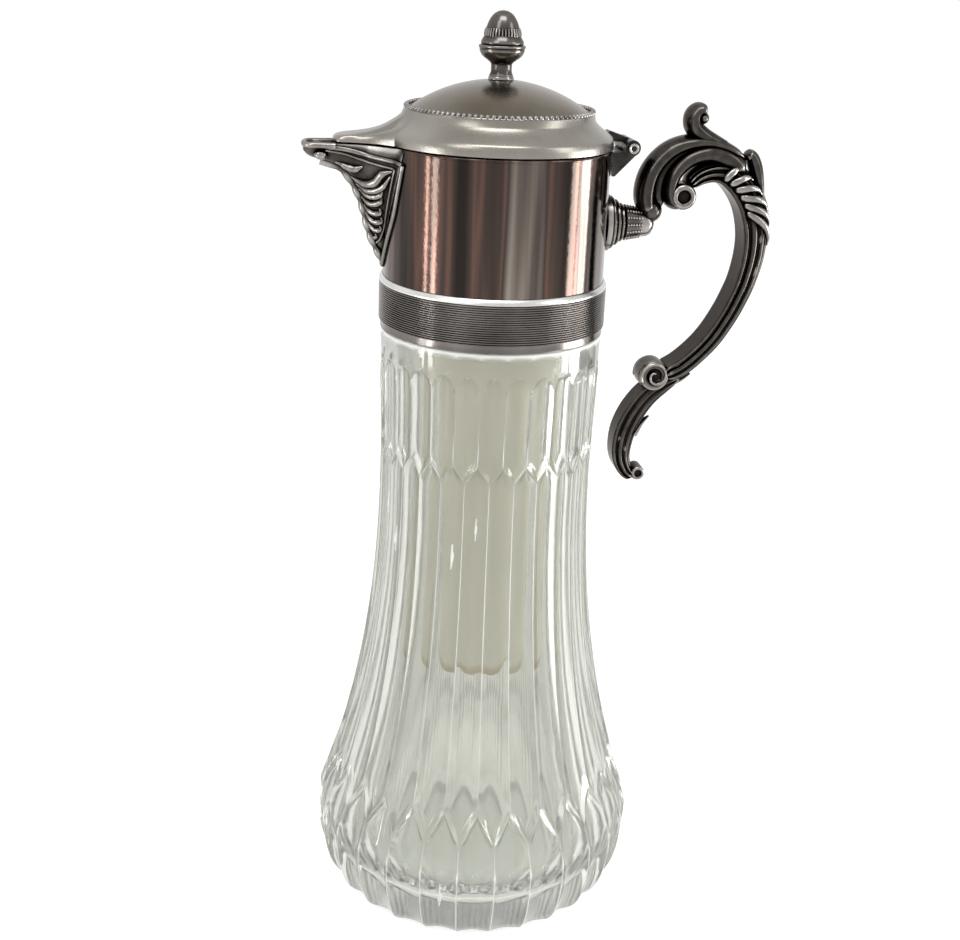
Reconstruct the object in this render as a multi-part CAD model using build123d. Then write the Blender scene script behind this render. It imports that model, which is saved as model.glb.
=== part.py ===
from build123d import *
import math
import os

# Beverage carafe: a fluted glass flask, a hanging ice tube and a plated head with a hinged lid.
# Millimetres. The origin is the centre of the base on the table, +Z up.
# The handle points along +X, the spout along -X, and the lid hinge lies along Y.

# Clearances
SEAT_GAP = 0.3
FIT_GAP = 0.05
CUT_REACH = 1.0

# The collar's radius sets the neck, the band, the spout, the socket, the hinge and the lid
COLLAR_R = 36.3
COLLAR_WALL = 1.1
COLLAR_HEIGHT = 42.3
COLLAR_OVERLAP = 2.6
RIM_BEAD = 0.8

# Glass flask: foot, bulge, concave flare, neck and plain finish under the head
FLUTES = 28
FACETS_PER_FLUTE = 4
FOOT_R = 43.0
BULGE_R = 57.4
BULGE_Z = 30.0
UNDER_POWER = 2.3
FLARE_HEIGHT = 140.0
FLARE_POWER = 2.36
NECK_HEIGHT = 38.6
NECK_TAPER = 1.0
SHOULDER_OVERHANG = 0.5
FINISH_HEIGHT = 15.4
FINISH_WALL = 3.6
BASE_THICKNESS = 11.0
FLASK_WALL = 4.2
CAVITY_CORNER = 6.0

# Rows of flutes: depths, and the zigzags where one row meets the next
FLUTE_DEPTH = 1.6
NECK_FLUTE_DEPTH = 1.0
FOOT_SCALLOP = 1.2
BULGE_POINTS_RISE = 10.0
BULGE_POINTS_HEIGHT = 11.0
NECK_POINTS_DROP = 4.5
NECK_POINTS_HEIGHT = 5.5
SCOOP_RUN = 4.0
PLAIN_SHOULDER = 7.6
FOOT_ROW_SHARES = (0.12, 0.45)
LONG_ROW_SHARES = (0.2, 0.45, 0.7)
CAVITY_SHARES = (0, 0.12, 0.25, 0.4, 0.6, 1)
CAVITY_FLOOR_SHARE = 0.72
CAVITY_CORNER_SHARE = 0.93

# Ice tube hanging in the neck
TUBE_GAP = 6.9
TUBE_WALL = 1.8
TUBE_LENGTH = 168.5
TUBE_RISE = 30.3
TUBE_CORNER = 5.0
TUBE_BEAD = 0.9
HANGER_LAP = 3.0
HANGER_THICKNESS = 2.4
HANGER_SLOTS = 8
HANGER_SLOT_EDGE = 1.15
HANGER_SLOT_SPAN = 28.0
GASKET_THICKNESS = 1.6
GASKET_LAP = 1.0
GASKET_SETBACK = 0.2

# Band and shelf
BAND_STEP = 1.2
BAND_GAP = 0.7
BAND_HEIGHT = 17.0
BAND_STRIP = 2.2
BAND_BEVEL = 1.95
BAND_BEVEL_FOOT = 0.45
BAND_LIP = 0.3
REEDS = 18
REED_DEPTH = 0.28
THREADED_RING_WALL = 2.0
THREADED_RING_HEIGHT = 12.0
SHELF_THICKNESS = 1.2
SHELF_LAP = 0.4

# Spout. Each station gives its share of the reach beyond the collar, of the root's half width and
# of the depth below the rim, and how sharply the sides draw in to the keel.
SPOUT_REACH = 25.7
SPOUT_HALF_WIDTH = 17.5
SPOUT_RIM_DROP = 0.3
SPOUT_FOOT_GAP = 2.5
SPOUT_WALL = 1.2
SPOUT_FLOOR = 2.2
SPOUT_INNER_RUN = 6.0
SPOUT_TIP_SHARE = 0.6
SPOUT_SHARES = (
    (-0.206, 1.000, 1.000, 0.95),
    (0.000, 0.771, 0.937, 0.90),
    (0.163, 0.583, 0.734, 0.75),
    (0.300, 0.457, 0.430, 0.60),
    (0.494, 0.377, 0.228, 0.50),
    (0.728, 0.337, 0.157, 0.45),
    (0.922, 0.297, 0.116, 0.45),
)
SPOUT_SIDE_SHARES = (0, 0.3, 0.6, 0.85)

# Handle socket and its screw
SOCKET_DROP = 24.6
SOCKET_LENGTH = 12.7
SOCKET_FLANGE_R = 9.3
SOCKET_FLANGE = 1.2
SOCKET_NECK_R = 4.6
SOCKET_RIBS = 3
SOCKET_RIB_PITCH = 1.7
STUD_R = 1.6
STUD_HEAD_R = 4.0
STUD_HEAD = 1.6
STUD_HEAD_SETBACK = 0.9
STUD_GRIP = 2.5
STUD_END_GAP = 0.1
CHEEK_LENGTH = 4.5
CHEEK_NOSE = 2.0

# Handle. Each station gives the distance out from the socket's end, the height above the socket's
# centre line and the half thickness. Each volute has a radius and a width across as well.
SCROLL_WIDTH = 10.8
SCROLL_CORNER_SHARE = 0.8
SCROLL_STATIONS = (
    (1.0, 3.0, 4.0),
    (2.6, 9.0, 5.8),
    (5.3, 16.8, 6.6),
    (11.2, 21.2, 6.8),
    (19.0, 21.9, 6.6),
    (27.0, 18.8, 6.4),
    (33.4, 12.6, 6.2),
    (37.0, 4.5, 5.9),
    (38.3, -5.0, 5.6),
    (37.0, -17.0, 5.3),
    (32.8, -29.2, 5.0),
    (26.4, -39.6, 4.6),
    (18.6, -47.4, 4.1),
    (11.0, -52.4, 3.6),
)
TAIL_WIDTH = 8.0
TAIL_STATIONS = (
    (17.0, -52.4, 2.0),
    (11.6, -55.6, 3.7),
    (5.8, -60.4, 4.1),
    (1.4, -67.0, 4.1),
    (-0.9, -74.0, 3.9),
    (-1.1, -80.4, 3.6),
    (0.4, -85.6, 3.0),
    (3.4, -88.4, 2.2),
)
CURL_WIDTH = 7.4
CURL_STATIONS = (
    (22.0, 24.6, 3.6),
    (17.8, 28.4, 3.2),
    (14.6, 32.6, 2.6),
    (14.2, 36.2, 2.2),
    (16.4, 37.8, 1.6),
)
SCROLL_END_SHARE = 0.72
VOLUTES = (
    (11.9, 9.6, 3.6, 12.2),
    (7.6, -51.8, 5.7, 11.4),
    (4.6, -87.8, 2.6, 7.4),
    (16.6, 36.2, 2.6, 8.4),
    (35.8, 22.4, 3.0, 7.6),
)
VOLUTE_CHAMFER_SHARE = 0.22

# Lid hinge
HINGE_OUT = 6.1
HINGE_RISE = 0.4
KNUCKLE_R = 2.5
KNUCKLE_LENGTH = 5.0
KNUCKLE_GAP = 0.3
PIN_R = 1.1
PIN_GAP = 0.06
PIN_HEAD = 0.8
PIN_HEAD_R = 1.7
BRACKET_DROP = 9.0
BRACKET_FOOT = 0.6
BRACKET_TOP_DROP = 1.4
LEAF_THICKNESS = 1.3
LEAF_ROOT_RISE = 1.4
LEAF_ROOT_REACH = 0.3

# Lid. The flange line gives shares of the flange's width and of the shoulder's height.
LID_OVERHANG = 0.5
LID_WALL = 1.1
LID_EDGE = 1.82
LID_FLANGE = 6.5
LID_SHOULDER = 10.3
CROWN_RISE = 9.4
CROWN_SETBACK = 1.5
FLANGE_SHARES = ((0.754, 0.404), (0.323, 0.621), (0.046, 0.786))
KNEE_SHARES = (0.323, 0.621)
CROWN_SHARES = (1, 0.85, 0.7, 0.55, 0.4, 0.2)
BEAD_R = 0.65

# Beak of the lid: share of the reach beyond the lid's edge, of the half width and of the shoulder
BEAK_REACH = 15.8
BEAK_HALF_WIDTH = 19.5
BEAK_SHARES = (
    (-0.620, 1.000, 0.835),
    (-0.304, 0.779, 0.670),
    (-0.019, 0.595, 0.485),
    (0.266, 0.441, 0.320),
    (0.582, 0.344, 0.243),
    (0.899, 0.277, 0.184),
)
BEAK_ANGLES = (0, 20, 45, 70, 90, 110, 135, 160, 180)
BEAK_HOLLOW_STATIONS = 4

# Finial: washer, waisted stem, flared cup and acorn. Shares are of the radius and of the height.
WASHER_R = 4.1
WASHER_THICKNESS = 1.0
STEM_R = 3.6
STEM_WAIST_R = 3.3
STEM_HEIGHT = 3.8
CUP_R = 7.3
CUP_HEIGHT = 5.6
CUP_SHARES = ((0.72, 0.21), (0.94, 0.54), (1, 0.82), (1, 1))
ACORN_R = 6.6
ACORN_HEIGHT = 10.3
ACORN_SHARES = (
    (1.00, 0.00),
    (0.97, 0.10),
    (0.89, 0.30),
    (0.81, 0.46),
    (0.74, 0.63),
    (0.62, 0.79),
    (0.42, 0.92),
    (0.20, 0.98),
)
FINIAL_SCREW_R = 1.5
FINIAL_SCREW_END = 1.5
FINIAL_NUT_R = 4.0
FINIAL_NUT_HEIGHT = 2.4

# Radii that follow the collar
COLLAR_INNER_R = COLLAR_R - COLLAR_WALL
BAND_INNER_R = COLLAR_R + FIT_GAP
BAND_R = COLLAR_R + BAND_STEP
FINISH_R = COLLAR_R - THREADED_RING_WALL - SEAT_GAP
BORE_R = FINISH_R - FINISH_WALL
SHOULDER_R = COLLAR_R + SHOULDER_OVERHANG
NECK_R = SHOULDER_R - NECK_TAPER
TUBE_R = BORE_R - TUBE_GAP
HANGER_R = BORE_R + HANGER_LAP
GASKET_R = HANGER_R + GASKET_LAP
GASKET_HOLE_R = BORE_R + GASKET_SETBACK
SHELF_HOLE_R = BORE_R - SHELF_LAP
SPOUT_SEAT_R = COLLAR_R + RIM_BEAD / 2
HINGE_U = COLLAR_R + HINGE_OUT
SOCKET_END_U = COLLAR_R + SOCKET_LENGTH
LID_R = COLLAR_R + LID_OVERHANG
LID_STEP_R = LID_R - LID_FLANGE
LID_CROWN_R = LID_STEP_R - CROWN_SETBACK
BEAD_RING_R = (LID_CROWN_R + LID_STEP_R) / 2

# Heights, from the table up
FLARE_TOP_Z = BULGE_Z + FLARE_HEIGHT
SHOULDER_Z = FLARE_TOP_Z + NECK_HEIGHT
NECK_FLUTE_TOP_Z = SHOULDER_Z - PLAIN_SHOULDER
LIP_Z = SHOULDER_Z + FINISH_HEIGHT
HANGER_Z = LIP_Z + SEAT_GAP
GASKET_Z = HANGER_Z + HANGER_THICKNESS + SEAT_GAP
SHELF_Z = GASKET_Z + GASKET_THICKNESS + SEAT_GAP
TUBE_TOP_Z = HANGER_Z + HANGER_THICKNESS + TUBE_RISE
TUBE_BOTTOM_Z = TUBE_TOP_Z - TUBE_LENGTH
BAND_BOTTOM_Z = SHOULDER_Z + BAND_GAP
BAND_TOP_Z = BAND_BOTTOM_Z + BAND_HEIGHT
RIM_Z = BAND_TOP_Z + COLLAR_HEIGHT
SPOUT_RIM_Z = RIM_Z - SPOUT_RIM_DROP
SPOUT_DEPTH = SPOUT_RIM_Z - BAND_TOP_Z - SPOUT_FOOT_GAP
SOCKET_Z = RIM_Z - SOCKET_DROP
HINGE_Z = RIM_Z + HINGE_RISE
LID_Z = RIM_Z + SEAT_GAP
LID_STEP_Z = LID_Z + LID_SHOULDER
LID_TOP_Z = LID_STEP_Z + CROWN_RISE
STEM_Z = LID_TOP_Z + WASHER_THICKNESS
CUP_Z = STEM_Z + STEM_HEIGHT
CUP_EDGE_Z = CUP_Z + CUP_HEIGHT
FINIAL_TOP_Z = CUP_EDGE_Z + ACORN_HEIGHT


def revolved(points):
    """A solid of revolution about Z from a closed outline of (radius, height) points."""
    outline = Wire.make_polygon([(r, 0, z) for r, z in points], close=True)
    return revolve(Face(outline), Axis.Z, 360)


def ring(inner_r, outer_r, low_z, high_z):
    """A plain ring about Z."""
    return revolved([(inner_r, low_z), (outer_r, low_z), (outer_r, high_z), (inner_r, high_z)])


def turned_along_x(outline):
    """A solid turned about the socket's centre line, from (distance out, radius) points."""
    wire = Wire.make_polygon([(u, 0, SOCKET_Z + r) for u, r in outline], close=True)
    return revolve(Face(wire), Axis((0, 0, SOCKET_Z), (1, 0, 0)), 360)


def stud_bore(end_u):
    """Clearance bore for the stud, from the axis to a distance out."""
    bore_r = STUD_R + FIT_GAP
    return turned_along_x([(0, 0), (0, bore_r), (end_u, bore_r), (end_u, 0)])


def glass_radius(z):
    """Outer radius of the glass, along its ribs, at a height."""
    if z >= FLARE_TOP_Z:
        return NECK_R + NECK_TAPER * (z - FLARE_TOP_Z) / NECK_HEIGHT
    if z >= BULGE_Z:
        share = (z - BULGE_Z) / FLARE_HEIGHT
        return NECK_R + (BULGE_R - NECK_R) * (1 - share) ** FLARE_POWER
    drop = (BULGE_Z - z) / BULGE_Z
    return FOOT_R + (BULGE_R - FOOT_R) * (1 - drop**UNDER_POWER) ** (1 / UNDER_POWER)


def glass_ring(rib_z, hollow_z, depth, phase=0.0):
    """One ring of points round the flask. Phase 0 scoops the glass midway between the foot row's
    ribs, phase 0.5 scoops it on them, and the ring zigzags where its two heights differ."""
    points = []
    for k in range(FLUTES * FACETS_PER_FLUTE):
        share = (k % FACETS_PER_FLUTE) / FACETS_PER_FLUTE
        z = hollow_z + (rib_z - hollow_z) * abs(2 * share - 1)
        across = (share + phase) % 1
        r = glass_radius(z) - depth * 4 * across * (1 - across)
        angle = 2 * math.pi * k / (FLUTES * FACETS_PER_FLUTE)
        points.append((r * math.cos(angle), r * math.sin(angle), z))
    return Wire.make_polygon(points, close=True)


def glass_rings():
    """The rings of the three rows of flutes, from the foot to the plain shoulder."""
    low = BULGE_Z + BULGE_POINTS_RISE
    high = low + BULGE_POINTS_HEIGHT
    neck_low = FLARE_TOP_Z - NECK_POINTS_DROP
    neck_high = neck_low + NECK_POINTS_HEIGHT
    bevel, under = (BULGE_Z * share for share in FOOT_ROW_SHARES)
    foot_row = [glass_ring(0, 0, FOOT_SCALLOP), glass_ring(bevel, bevel, FOOT_SCALLOP)]
    foot_row += [glass_ring(z, z, FLUTE_DEPTH) for z in (under, BULGE_Z)]
    foot_row += [glass_ring(low - SCOOP_RUN, high - SCOOP_RUN, FLUTE_DEPTH), glass_ring(low, high, 0)]
    long_row = [glass_ring(low + SCOOP_RUN, high + SCOOP_RUN, FLUTE_DEPTH, 0.5)]
    for share in LONG_ROW_SHARES:
        z = high + (neck_low - high) * share
        long_row.append(glass_ring(z, z, FLUTE_DEPTH, 0.5))
    long_row.append(glass_ring(neck_high - SCOOP_RUN, neck_low - SCOOP_RUN, NECK_FLUTE_DEPTH, 0.5))
    long_row.append(glass_ring(neck_high, neck_low, 0))
    short_row = [glass_ring(neck_high + SCOOP_RUN, neck_low + SCOOP_RUN, NECK_FLUTE_DEPTH)]
    top = NECK_FLUTE_TOP_Z
    short_row.append(glass_ring(top - SCOOP_RUN, top - SCOOP_RUN, NECK_FLUTE_DEPTH))
    short_row += [glass_ring(z, z, 0) for z in (top, SHOULDER_Z)]
    return foot_row + long_row + short_row


def cavity_radius(z):
    """Inner radius of the flask at a height, at least its bore."""
    if z >= FLARE_TOP_Z:
        return BORE_R
    return max(BORE_R, glass_radius(z) - FLUTE_DEPTH - FLASK_WALL)


def glass_flask():
    """Pressed glass flask with three rows of flutes, a thick base and a plain neck finish."""
    body = Solid.make_loft(glass_rings(), ruled=True)
    finish = ring(BORE_R, FINISH_R, SHOULDER_Z, LIP_Z)
    floor_r = cavity_radius(BULGE_Z)
    outline = [(0, BASE_THICKNESS), (floor_r * CAVITY_FLOOR_SHARE, BASE_THICKNESS)]
    outline.append((floor_r * CAVITY_CORNER_SHARE, BASE_THICKNESS + CAVITY_CORNER))
    heights = [BULGE_Z + FLARE_HEIGHT * share for share in CAVITY_SHARES]
    outline += [(cavity_radius(z), z) for z in heights]
    top = SHOULDER_Z + CUT_REACH
    outline += [(BORE_R, top), (0, top)]
    return body - revolved(outline) + finish


def ice_tube():
    """Closed-bottomed tube for ice with a rolled mouth."""
    upright = (Align.CENTER, Align.CENTER, Align.MIN)
    inner_r = TUBE_R - TUBE_WALL
    outer = Pos(0, 0, TUBE_BOTTOM_Z) * Cylinder(TUBE_R, TUBE_LENGTH, align=upright)
    outer = fillet(outer.edges().group_by(Axis.Z)[0], TUBE_CORNER)
    inner = Pos(0, 0, TUBE_BOTTOM_Z + TUBE_WALL) * Cylinder(inner_r, TUBE_LENGTH, align=upright)
    inner = fillet(inner.edges().group_by(Axis.Z)[0], TUBE_CORNER - TUBE_WALL)
    mouth = Pos(0, 0, TUBE_TOP_Z - TUBE_BEAD) * Torus(TUBE_R, TUBE_BEAD)
    mouth -= ring(0, inner_r, TUBE_TOP_Z - 3 * TUBE_BEAD, TUBE_TOP_Z + CUT_REACH)
    return outer - inner + mouth


def hanger_ring():
    """Flat ring on the tube that hangs it on the glass lip, slotted for the drink to pass."""
    body = ring(TUBE_R + FIT_GAP, HANGER_R, HANGER_Z, HANGER_Z + HANGER_THICKNESS)
    low = HANGER_Z - CUT_REACH
    high = HANGER_Z + HANGER_THICKNESS + CUT_REACH
    slot = ring(TUBE_R + HANGER_SLOT_EDGE, BORE_R - HANGER_SLOT_EDGE, low, high)
    side = HANGER_R * math.tan(math.radians(HANGER_SLOT_SPAN / 2))
    wedge = make_face(Polyline((0, 0), (HANGER_R, -side), (HANGER_R, side), close=True))
    piece = slot & extrude(Plane.XY.offset(low) * wedge, high - low)
    for k in range(HANGER_SLOTS):
        body -= Rot(0, 0, k * 360 / HANGER_SLOTS) * piece
    return body


def neck_gasket():
    """Flat seal between the hanger ring and the shelf in the head."""
    return ring(GASKET_HOLE_R, GASKET_R, GASKET_Z, GASKET_Z + GASKET_THICKNESS)


def threaded_ring():
    """Ring inside the band that screws on the glass neck."""
    low = BAND_BOTTOM_Z + FIT_GAP
    return ring(FINISH_R + SEAT_GAP, BAND_INNER_R - FIT_GAP, low, low + THREADED_RING_HEIGHT)


def reeded_band():
    """Band with fine reeds, a plain strip below them and a bevelled edge above."""
    root_r = BAND_R - REED_DEPTH
    reeds_low = BAND_BOTTOM_Z + BAND_STRIP
    reeds_high = BAND_TOP_Z - BAND_BEVEL
    step = (reeds_high - reeds_low) / REEDS
    outline = [(BAND_INNER_R, BAND_BOTTOM_Z), (root_r, BAND_BOTTOM_Z), (root_r, reeds_low)]
    for k in range(REEDS):
        outline += [(BAND_R, reeds_low + step * (k + 0.5)), (root_r, reeds_low + step * (k + 1))]
    outline.append((BAND_R, reeds_high + BAND_BEVEL_FOOT))
    outline += [(BAND_INNER_R + BAND_LIP, BAND_TOP_Z), (BAND_INNER_R, BAND_TOP_Z)]
    return revolved(outline)


def spout_section(u, half_width, low_z, high_z, sharpness):
    """Trough section at a distance out: flat on top, with sides that draw in to a keel."""
    height = high_z - low_z
    side = [(half_width * (1 - s) ** sharpness, high_z - height * s) for s in SPOUT_SIDE_SHARES]
    right = [(-u, y, z) for y, z in side]
    left = [(-u, -y, z) for y, z in reversed(side)]
    return Wire.make_polygon(right + [(-u, 0, low_z)] + left, close=True)


def spout_stations():
    """Distance out, half width, depth and sharpness of each station of the spout."""
    return [(COLLAR_R + SPOUT_REACH * out, SPOUT_HALF_WIDTH * wide, SPOUT_DEPTH * deep, sharpness)
            for out, wide, deep, sharpness in SPOUT_SHARES]


def spout_body():
    """Outside of the spout as one loft from the collar to the lip."""
    stations = spout_stations()
    sections = [spout_section(u, w, SPOUT_RIM_Z - d, SPOUT_RIM_Z, e) for u, w, d, e in stations]
    u, w, d, e = stations[-1]
    low = SPOUT_RIM_Z - d * SPOUT_TIP_SHARE
    sections.append(spout_section(COLLAR_R + SPOUT_REACH, w * SPOUT_TIP_SHARE, low, SPOUT_RIM_Z, e))
    return Solid.make_loft(sections, ruled=True)


def spout_channel():
    """The way through the spout, open above and through the collar wall."""
    top = SPOUT_RIM_Z + 2 * CUT_REACH
    stations = spout_stations()
    u, w, d, e = stations[0]
    sections = []
    for u, w, d, e in [(u - SPOUT_INNER_RUN, w, d, e)] + stations:
        sections.append(spout_section(u, w - SPOUT_WALL, SPOUT_RIM_Z - d + SPOUT_FLOOR, top, e))
    end_u = COLLAR_R + SPOUT_REACH + CUT_REACH
    mouth_z = SPOUT_RIM_Z - (d - SPOUT_FLOOR) * 0.75
    sections.append(spout_section(end_u, w * SPOUT_TIP_SHARE, mouth_z, top, e))
    return Solid.make_loft(sections, ruled=True)


def collar_shell():
    """Plain cylindrical collar with a rolled rim and the opening to the spout."""
    rim_z = RIM_Z - RIM_BEAD
    shell = ring(COLLAR_INNER_R, COLLAR_R, BAND_TOP_Z - COLLAR_OVERLAP, rim_z)
    rim = Pos(0, 0, rim_z) * Torus(COLLAR_R - COLLAR_WALL / 2, RIM_BEAD)
    return shell + rim - spout_channel() - stud_bore(COLLAR_R + CUT_REACH)


def collar_shelf():
    """Ring soldered in the collar that bears on the gasket."""
    return ring(SHELF_HOLE_R, COLLAR_INNER_R - FIT_GAP, SHELF_Z, SHELF_Z + SHELF_THICKNESS)


def pour_spout():
    """Cast spout fitted to the outside of the collar."""
    collar = ring(0, SPOUT_SEAT_R, BAND_BOTTOM_Z, RIM_Z + CUT_REACH)
    return spout_body() - collar - spout_channel()


def handle_socket():
    """Ribbed socket that carries the handle on the collar."""
    u = COLLAR_R + SOCKET_FLANGE
    r = SOCKET_FLANGE_R
    drop = (SOCKET_FLANGE_R - SOCKET_NECK_R) / (SOCKET_RIBS + 1)
    outline = [(0, 0), (0, r), (u, r)]
    for k in range(SOCKET_RIBS):
        crest = r - drop * 0.5
        root = r - drop * 1.4
        outline += [(u, root), (u + SOCKET_RIB_PITCH / 2, crest), (u + SOCKET_RIB_PITCH, root)]
        u += SOCKET_RIB_PITCH
        r -= drop
    outline += [(SOCKET_END_U, SOCKET_NECK_R), (SOCKET_END_U, 0)]
    body = turned_along_x(outline)
    body -= ring(0, COLLAR_R + FIT_GAP, BAND_BOTTOM_Z, RIM_Z)
    return body - stud_bore(SOCKET_END_U + CUT_REACH)


def handle_stud():
    """Screw from inside the collar, through the socket, into the handle."""
    head_u = COLLAR_INNER_R - STUD_HEAD_SETBACK
    end_u = SOCKET_END_U + STUD_GRIP
    outline = [(head_u - STUD_HEAD, 0), (head_u - STUD_HEAD, STUD_HEAD_R * 0.8), (head_u, STUD_HEAD_R)]
    outline += [(head_u, STUD_R), (end_u, STUD_R), (end_u, 0)]
    return turned_along_x(outline)


def scroll_loft(stations, width):
    """A cast bar along a scroll, with a rounded section at each station."""
    sections = []
    last = len(stations) - 1
    for k, (out, rise, half) in enumerate(stations):
        before = stations[max(k - 1, 0)]
        after = stations[min(k + 1, last)]
        along = Vector(after[0] - before[0], 0, after[1] - before[1])
        centre = (SOCKET_END_U + out, 0, SOCKET_Z + rise)
        across = width * (SCROLL_END_SHARE if k in (0, last) else 1)
        corner = min(across / 2, half) * SCROLL_CORNER_SHARE
        plane = Plane(origin=centre, x_dir=(0, 1, 0), z_dir=along)
        sections.append((plane * RectangleRounded(across, 2 * half, corner)).face().outer_wire())
    return Solid.make_loft(sections)


def volute(out, rise, radius, width):
    """A rolled scroll end: a short drum across the handle."""
    drum = Pos(SOCKET_END_U + out, 0, SOCKET_Z + rise) * Rot(90, 0, 0) * Cylinder(radius, width)
    return chamfer(drum.edges(), radius * VOLUTE_CHAMFER_SHARE)


def handle():
    """Cast scroll handle, held at its top end alone."""
    body = scroll_loft(SCROLL_STATIONS, SCROLL_WIDTH)
    body += scroll_loft(TAIL_STATIONS, TAIL_WIDTH)
    body += scroll_loft(CURL_STATIONS, CURL_WIDTH)
    for place in VOLUTES:
        body += volute(*place)
    face_u = SOCKET_END_U + FIT_GAP
    nose_u = face_u + CHEEK_LENGTH
    cheek = turned_along_x([(face_u, 0), (face_u, SOCKET_NECK_R), (nose_u, SOCKET_NECK_R * 0.9),
                            (nose_u + CHEEK_NOSE, 0)])
    body = body - handle_socket() + cheek
    return body - stud_bore(SOCKET_END_U + STUD_GRIP + STUD_END_GAP)


def barrel(radius, low_y, high_y):
    """A cylinder on the hinge axis between two places along it."""
    middle = (low_y + high_y) / 2
    return Pos(HINGE_U, middle, HINGE_Z) * Rot(90, 0, 0) * Cylinder(radius, high_y - low_y)


def hinge_bracket():
    """Gusset on the collar with the two outer knuckles."""
    slot_half = KNUCKLE_LENGTH / 2 + KNUCKLE_GAP
    end_y = slot_half + KNUCKLE_LENGTH
    room = 2 * (KNUCKLE_R + KNUCKLE_GAP)
    foot_z = HINGE_Z - BRACKET_DROP
    outline = Polyline(
        (COLLAR_INNER_R, foot_z), (COLLAR_R + BRACKET_FOOT, foot_z),
        (HINGE_U + KNUCKLE_R * 0.7, HINGE_Z - KNUCKLE_R * 0.6), (HINGE_U, HINGE_Z - KNUCKLE_R * 0.5),
        (COLLAR_INNER_R, HINGE_Z - BRACKET_TOP_DROP), close=True)
    body = extrude(Plane.XZ * make_face(outline), end_y, both=True)
    body -= ring(0, COLLAR_R + RIM_BEAD / 2, BAND_TOP_Z, RIM_Z + CUT_REACH)
    body -= Pos(HINGE_U, 0, HINGE_Z) * Box(room, 2 * slot_half, room)
    body += barrel(KNUCKLE_R, slot_half, end_y) + barrel(KNUCKLE_R, -end_y, -slot_half)
    return body - barrel(PIN_R + PIN_GAP, -end_y - CUT_REACH, end_y + CUT_REACH)


def hinge_pin():
    """Pin through the knuckles with a small head at each end."""
    face_y = KNUCKLE_LENGTH * 1.5 + KNUCKLE_GAP
    head_y = face_y + PIN_GAP
    end_y = face_y + PIN_HEAD
    pin = barrel(PIN_R, -end_y, end_y)
    return pin + barrel(PIN_HEAD_R, head_y, end_y) + barrel(PIN_HEAD_R, -end_y, -head_y)


def lid_leaf():
    """Strap from the lid to the middle knuckle."""
    half = KNUCKLE_LENGTH / 2
    root_u = LID_R + LEAF_ROOT_REACH
    root_z = HINGE_Z + LEAF_ROOT_RISE
    outline = Polyline(
        (LID_R - 2 * LID_WALL, root_z + 2 * LID_WALL), (LID_R - LID_WALL, HINGE_Z + 2 * LID_EDGE + LID_WALL),
        (HINGE_U, HINGE_Z + KNUCKLE_R), (HINGE_U, HINGE_Z + KNUCKLE_R - LEAF_THICKNESS),
        (root_u, root_z), (root_u, root_z + LEAF_THICKNESS), close=True)
    body = barrel(KNUCKLE_R, -half, half) + extrude(Plane.XZ * make_face(outline), half, both=True)
    return body - lid_cover() - barrel(PIN_R + PIN_GAP, -half - CUT_REACH, half + CUT_REACH)


def flange_point(shares):
    """A point of the lid's flange from its shares of the flange's width and the shoulder's height."""
    return (LID_STEP_R + LID_FLANGE * shares[0], LID_Z + LID_SHOULDER * shares[1])


def crown_z(r):
    """Height of the domed crown at a radius, as a shallow spherical cap."""
    ball_r = (LID_CROWN_R**2 + CROWN_RISE**2) / (2 * CROWN_RISE)
    return LID_TOP_Z - ball_r + math.sqrt(ball_r**2 - r**2)


def lid_cover():
    """Solid filled under the lid's upper line, before it is hollowed."""
    flange = [(0, LID_Z), (LID_R, LID_Z), (LID_R, LID_Z + LID_EDGE)]
    flange += [flange_point(shares) for shares in FLANGE_SHARES] + [(LID_STEP_R, LID_STEP_Z)]
    crown = [(LID_CROWN_R * s, crown_z(LID_CROWN_R * s)) for s in CROWN_SHARES]
    return revolved(flange + crown + [(0, LID_TOP_Z)])


def lid_hollow():
    """Space under the lid."""
    knee_r, knee_z = flange_point(KNEE_SHARES)
    low = LID_Z - CUT_REACH
    side_r = LID_R - LID_WALL
    flange = [(0, low), (side_r, low), (side_r, LID_Z + LID_EDGE - LID_WALL / 2)]
    flange += [(knee_r - LID_WALL, knee_z - LID_WALL), (LID_STEP_R - LID_WALL, LID_STEP_Z - 2.4 * LID_WALL)]
    crown = [(LID_CROWN_R * s, crown_z(LID_CROWN_R * s) - LID_WALL) for s in CROWN_SHARES]
    return revolved(flange + crown + [(0, LID_TOP_Z - LID_WALL)])


def beak_section(u, half_width, height):
    """Low arched section of the lid's beak."""
    points = []
    for angle in BEAK_ANGLES:
        turn = math.radians(angle)
        points.append((-u, half_width * math.cos(turn), LID_Z + height * math.sin(turn)))
    return Wire.make_polygon(points, close=True)


def lid_shell():
    """Spun lid: domed crown, step, cavetto and a beak over the spout."""
    stations = [(LID_R + BEAK_REACH * out, BEAK_HALF_WIDTH * wide, LID_SHOULDER * high)
                for out, wide, high in BEAK_SHARES]
    sections = [beak_section(u, w, h) for u, w, h in stations]
    u, w, h = stations[-1]
    sections.append(beak_section(LID_R + BEAK_REACH, w * 0.5, h * 0.6))
    beak = Solid.make_loft(sections, ruled=True)
    hollow = [beak_section(u, w - LID_WALL * 1.5, h - LID_WALL) for u, w, h in stations[:BEAK_HOLLOW_STATIONS]]
    body = lid_cover() + beak - lid_hollow() - Solid.make_loft(hollow, ruled=True)
    return body - Pos(0, 0, LID_TOP_Z) * Cylinder(FINIAL_SCREW_R + FIT_GAP, LID_WALL * 6)


def bead_ring():
    """Beaded wire soldered on the step of the lid."""
    low = LID_STEP_Z + FIT_GAP
    return ring(BEAD_RING_R - BEAD_R, BEAD_RING_R + BEAD_R, low, low + BEAD_R * 1.35)


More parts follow.
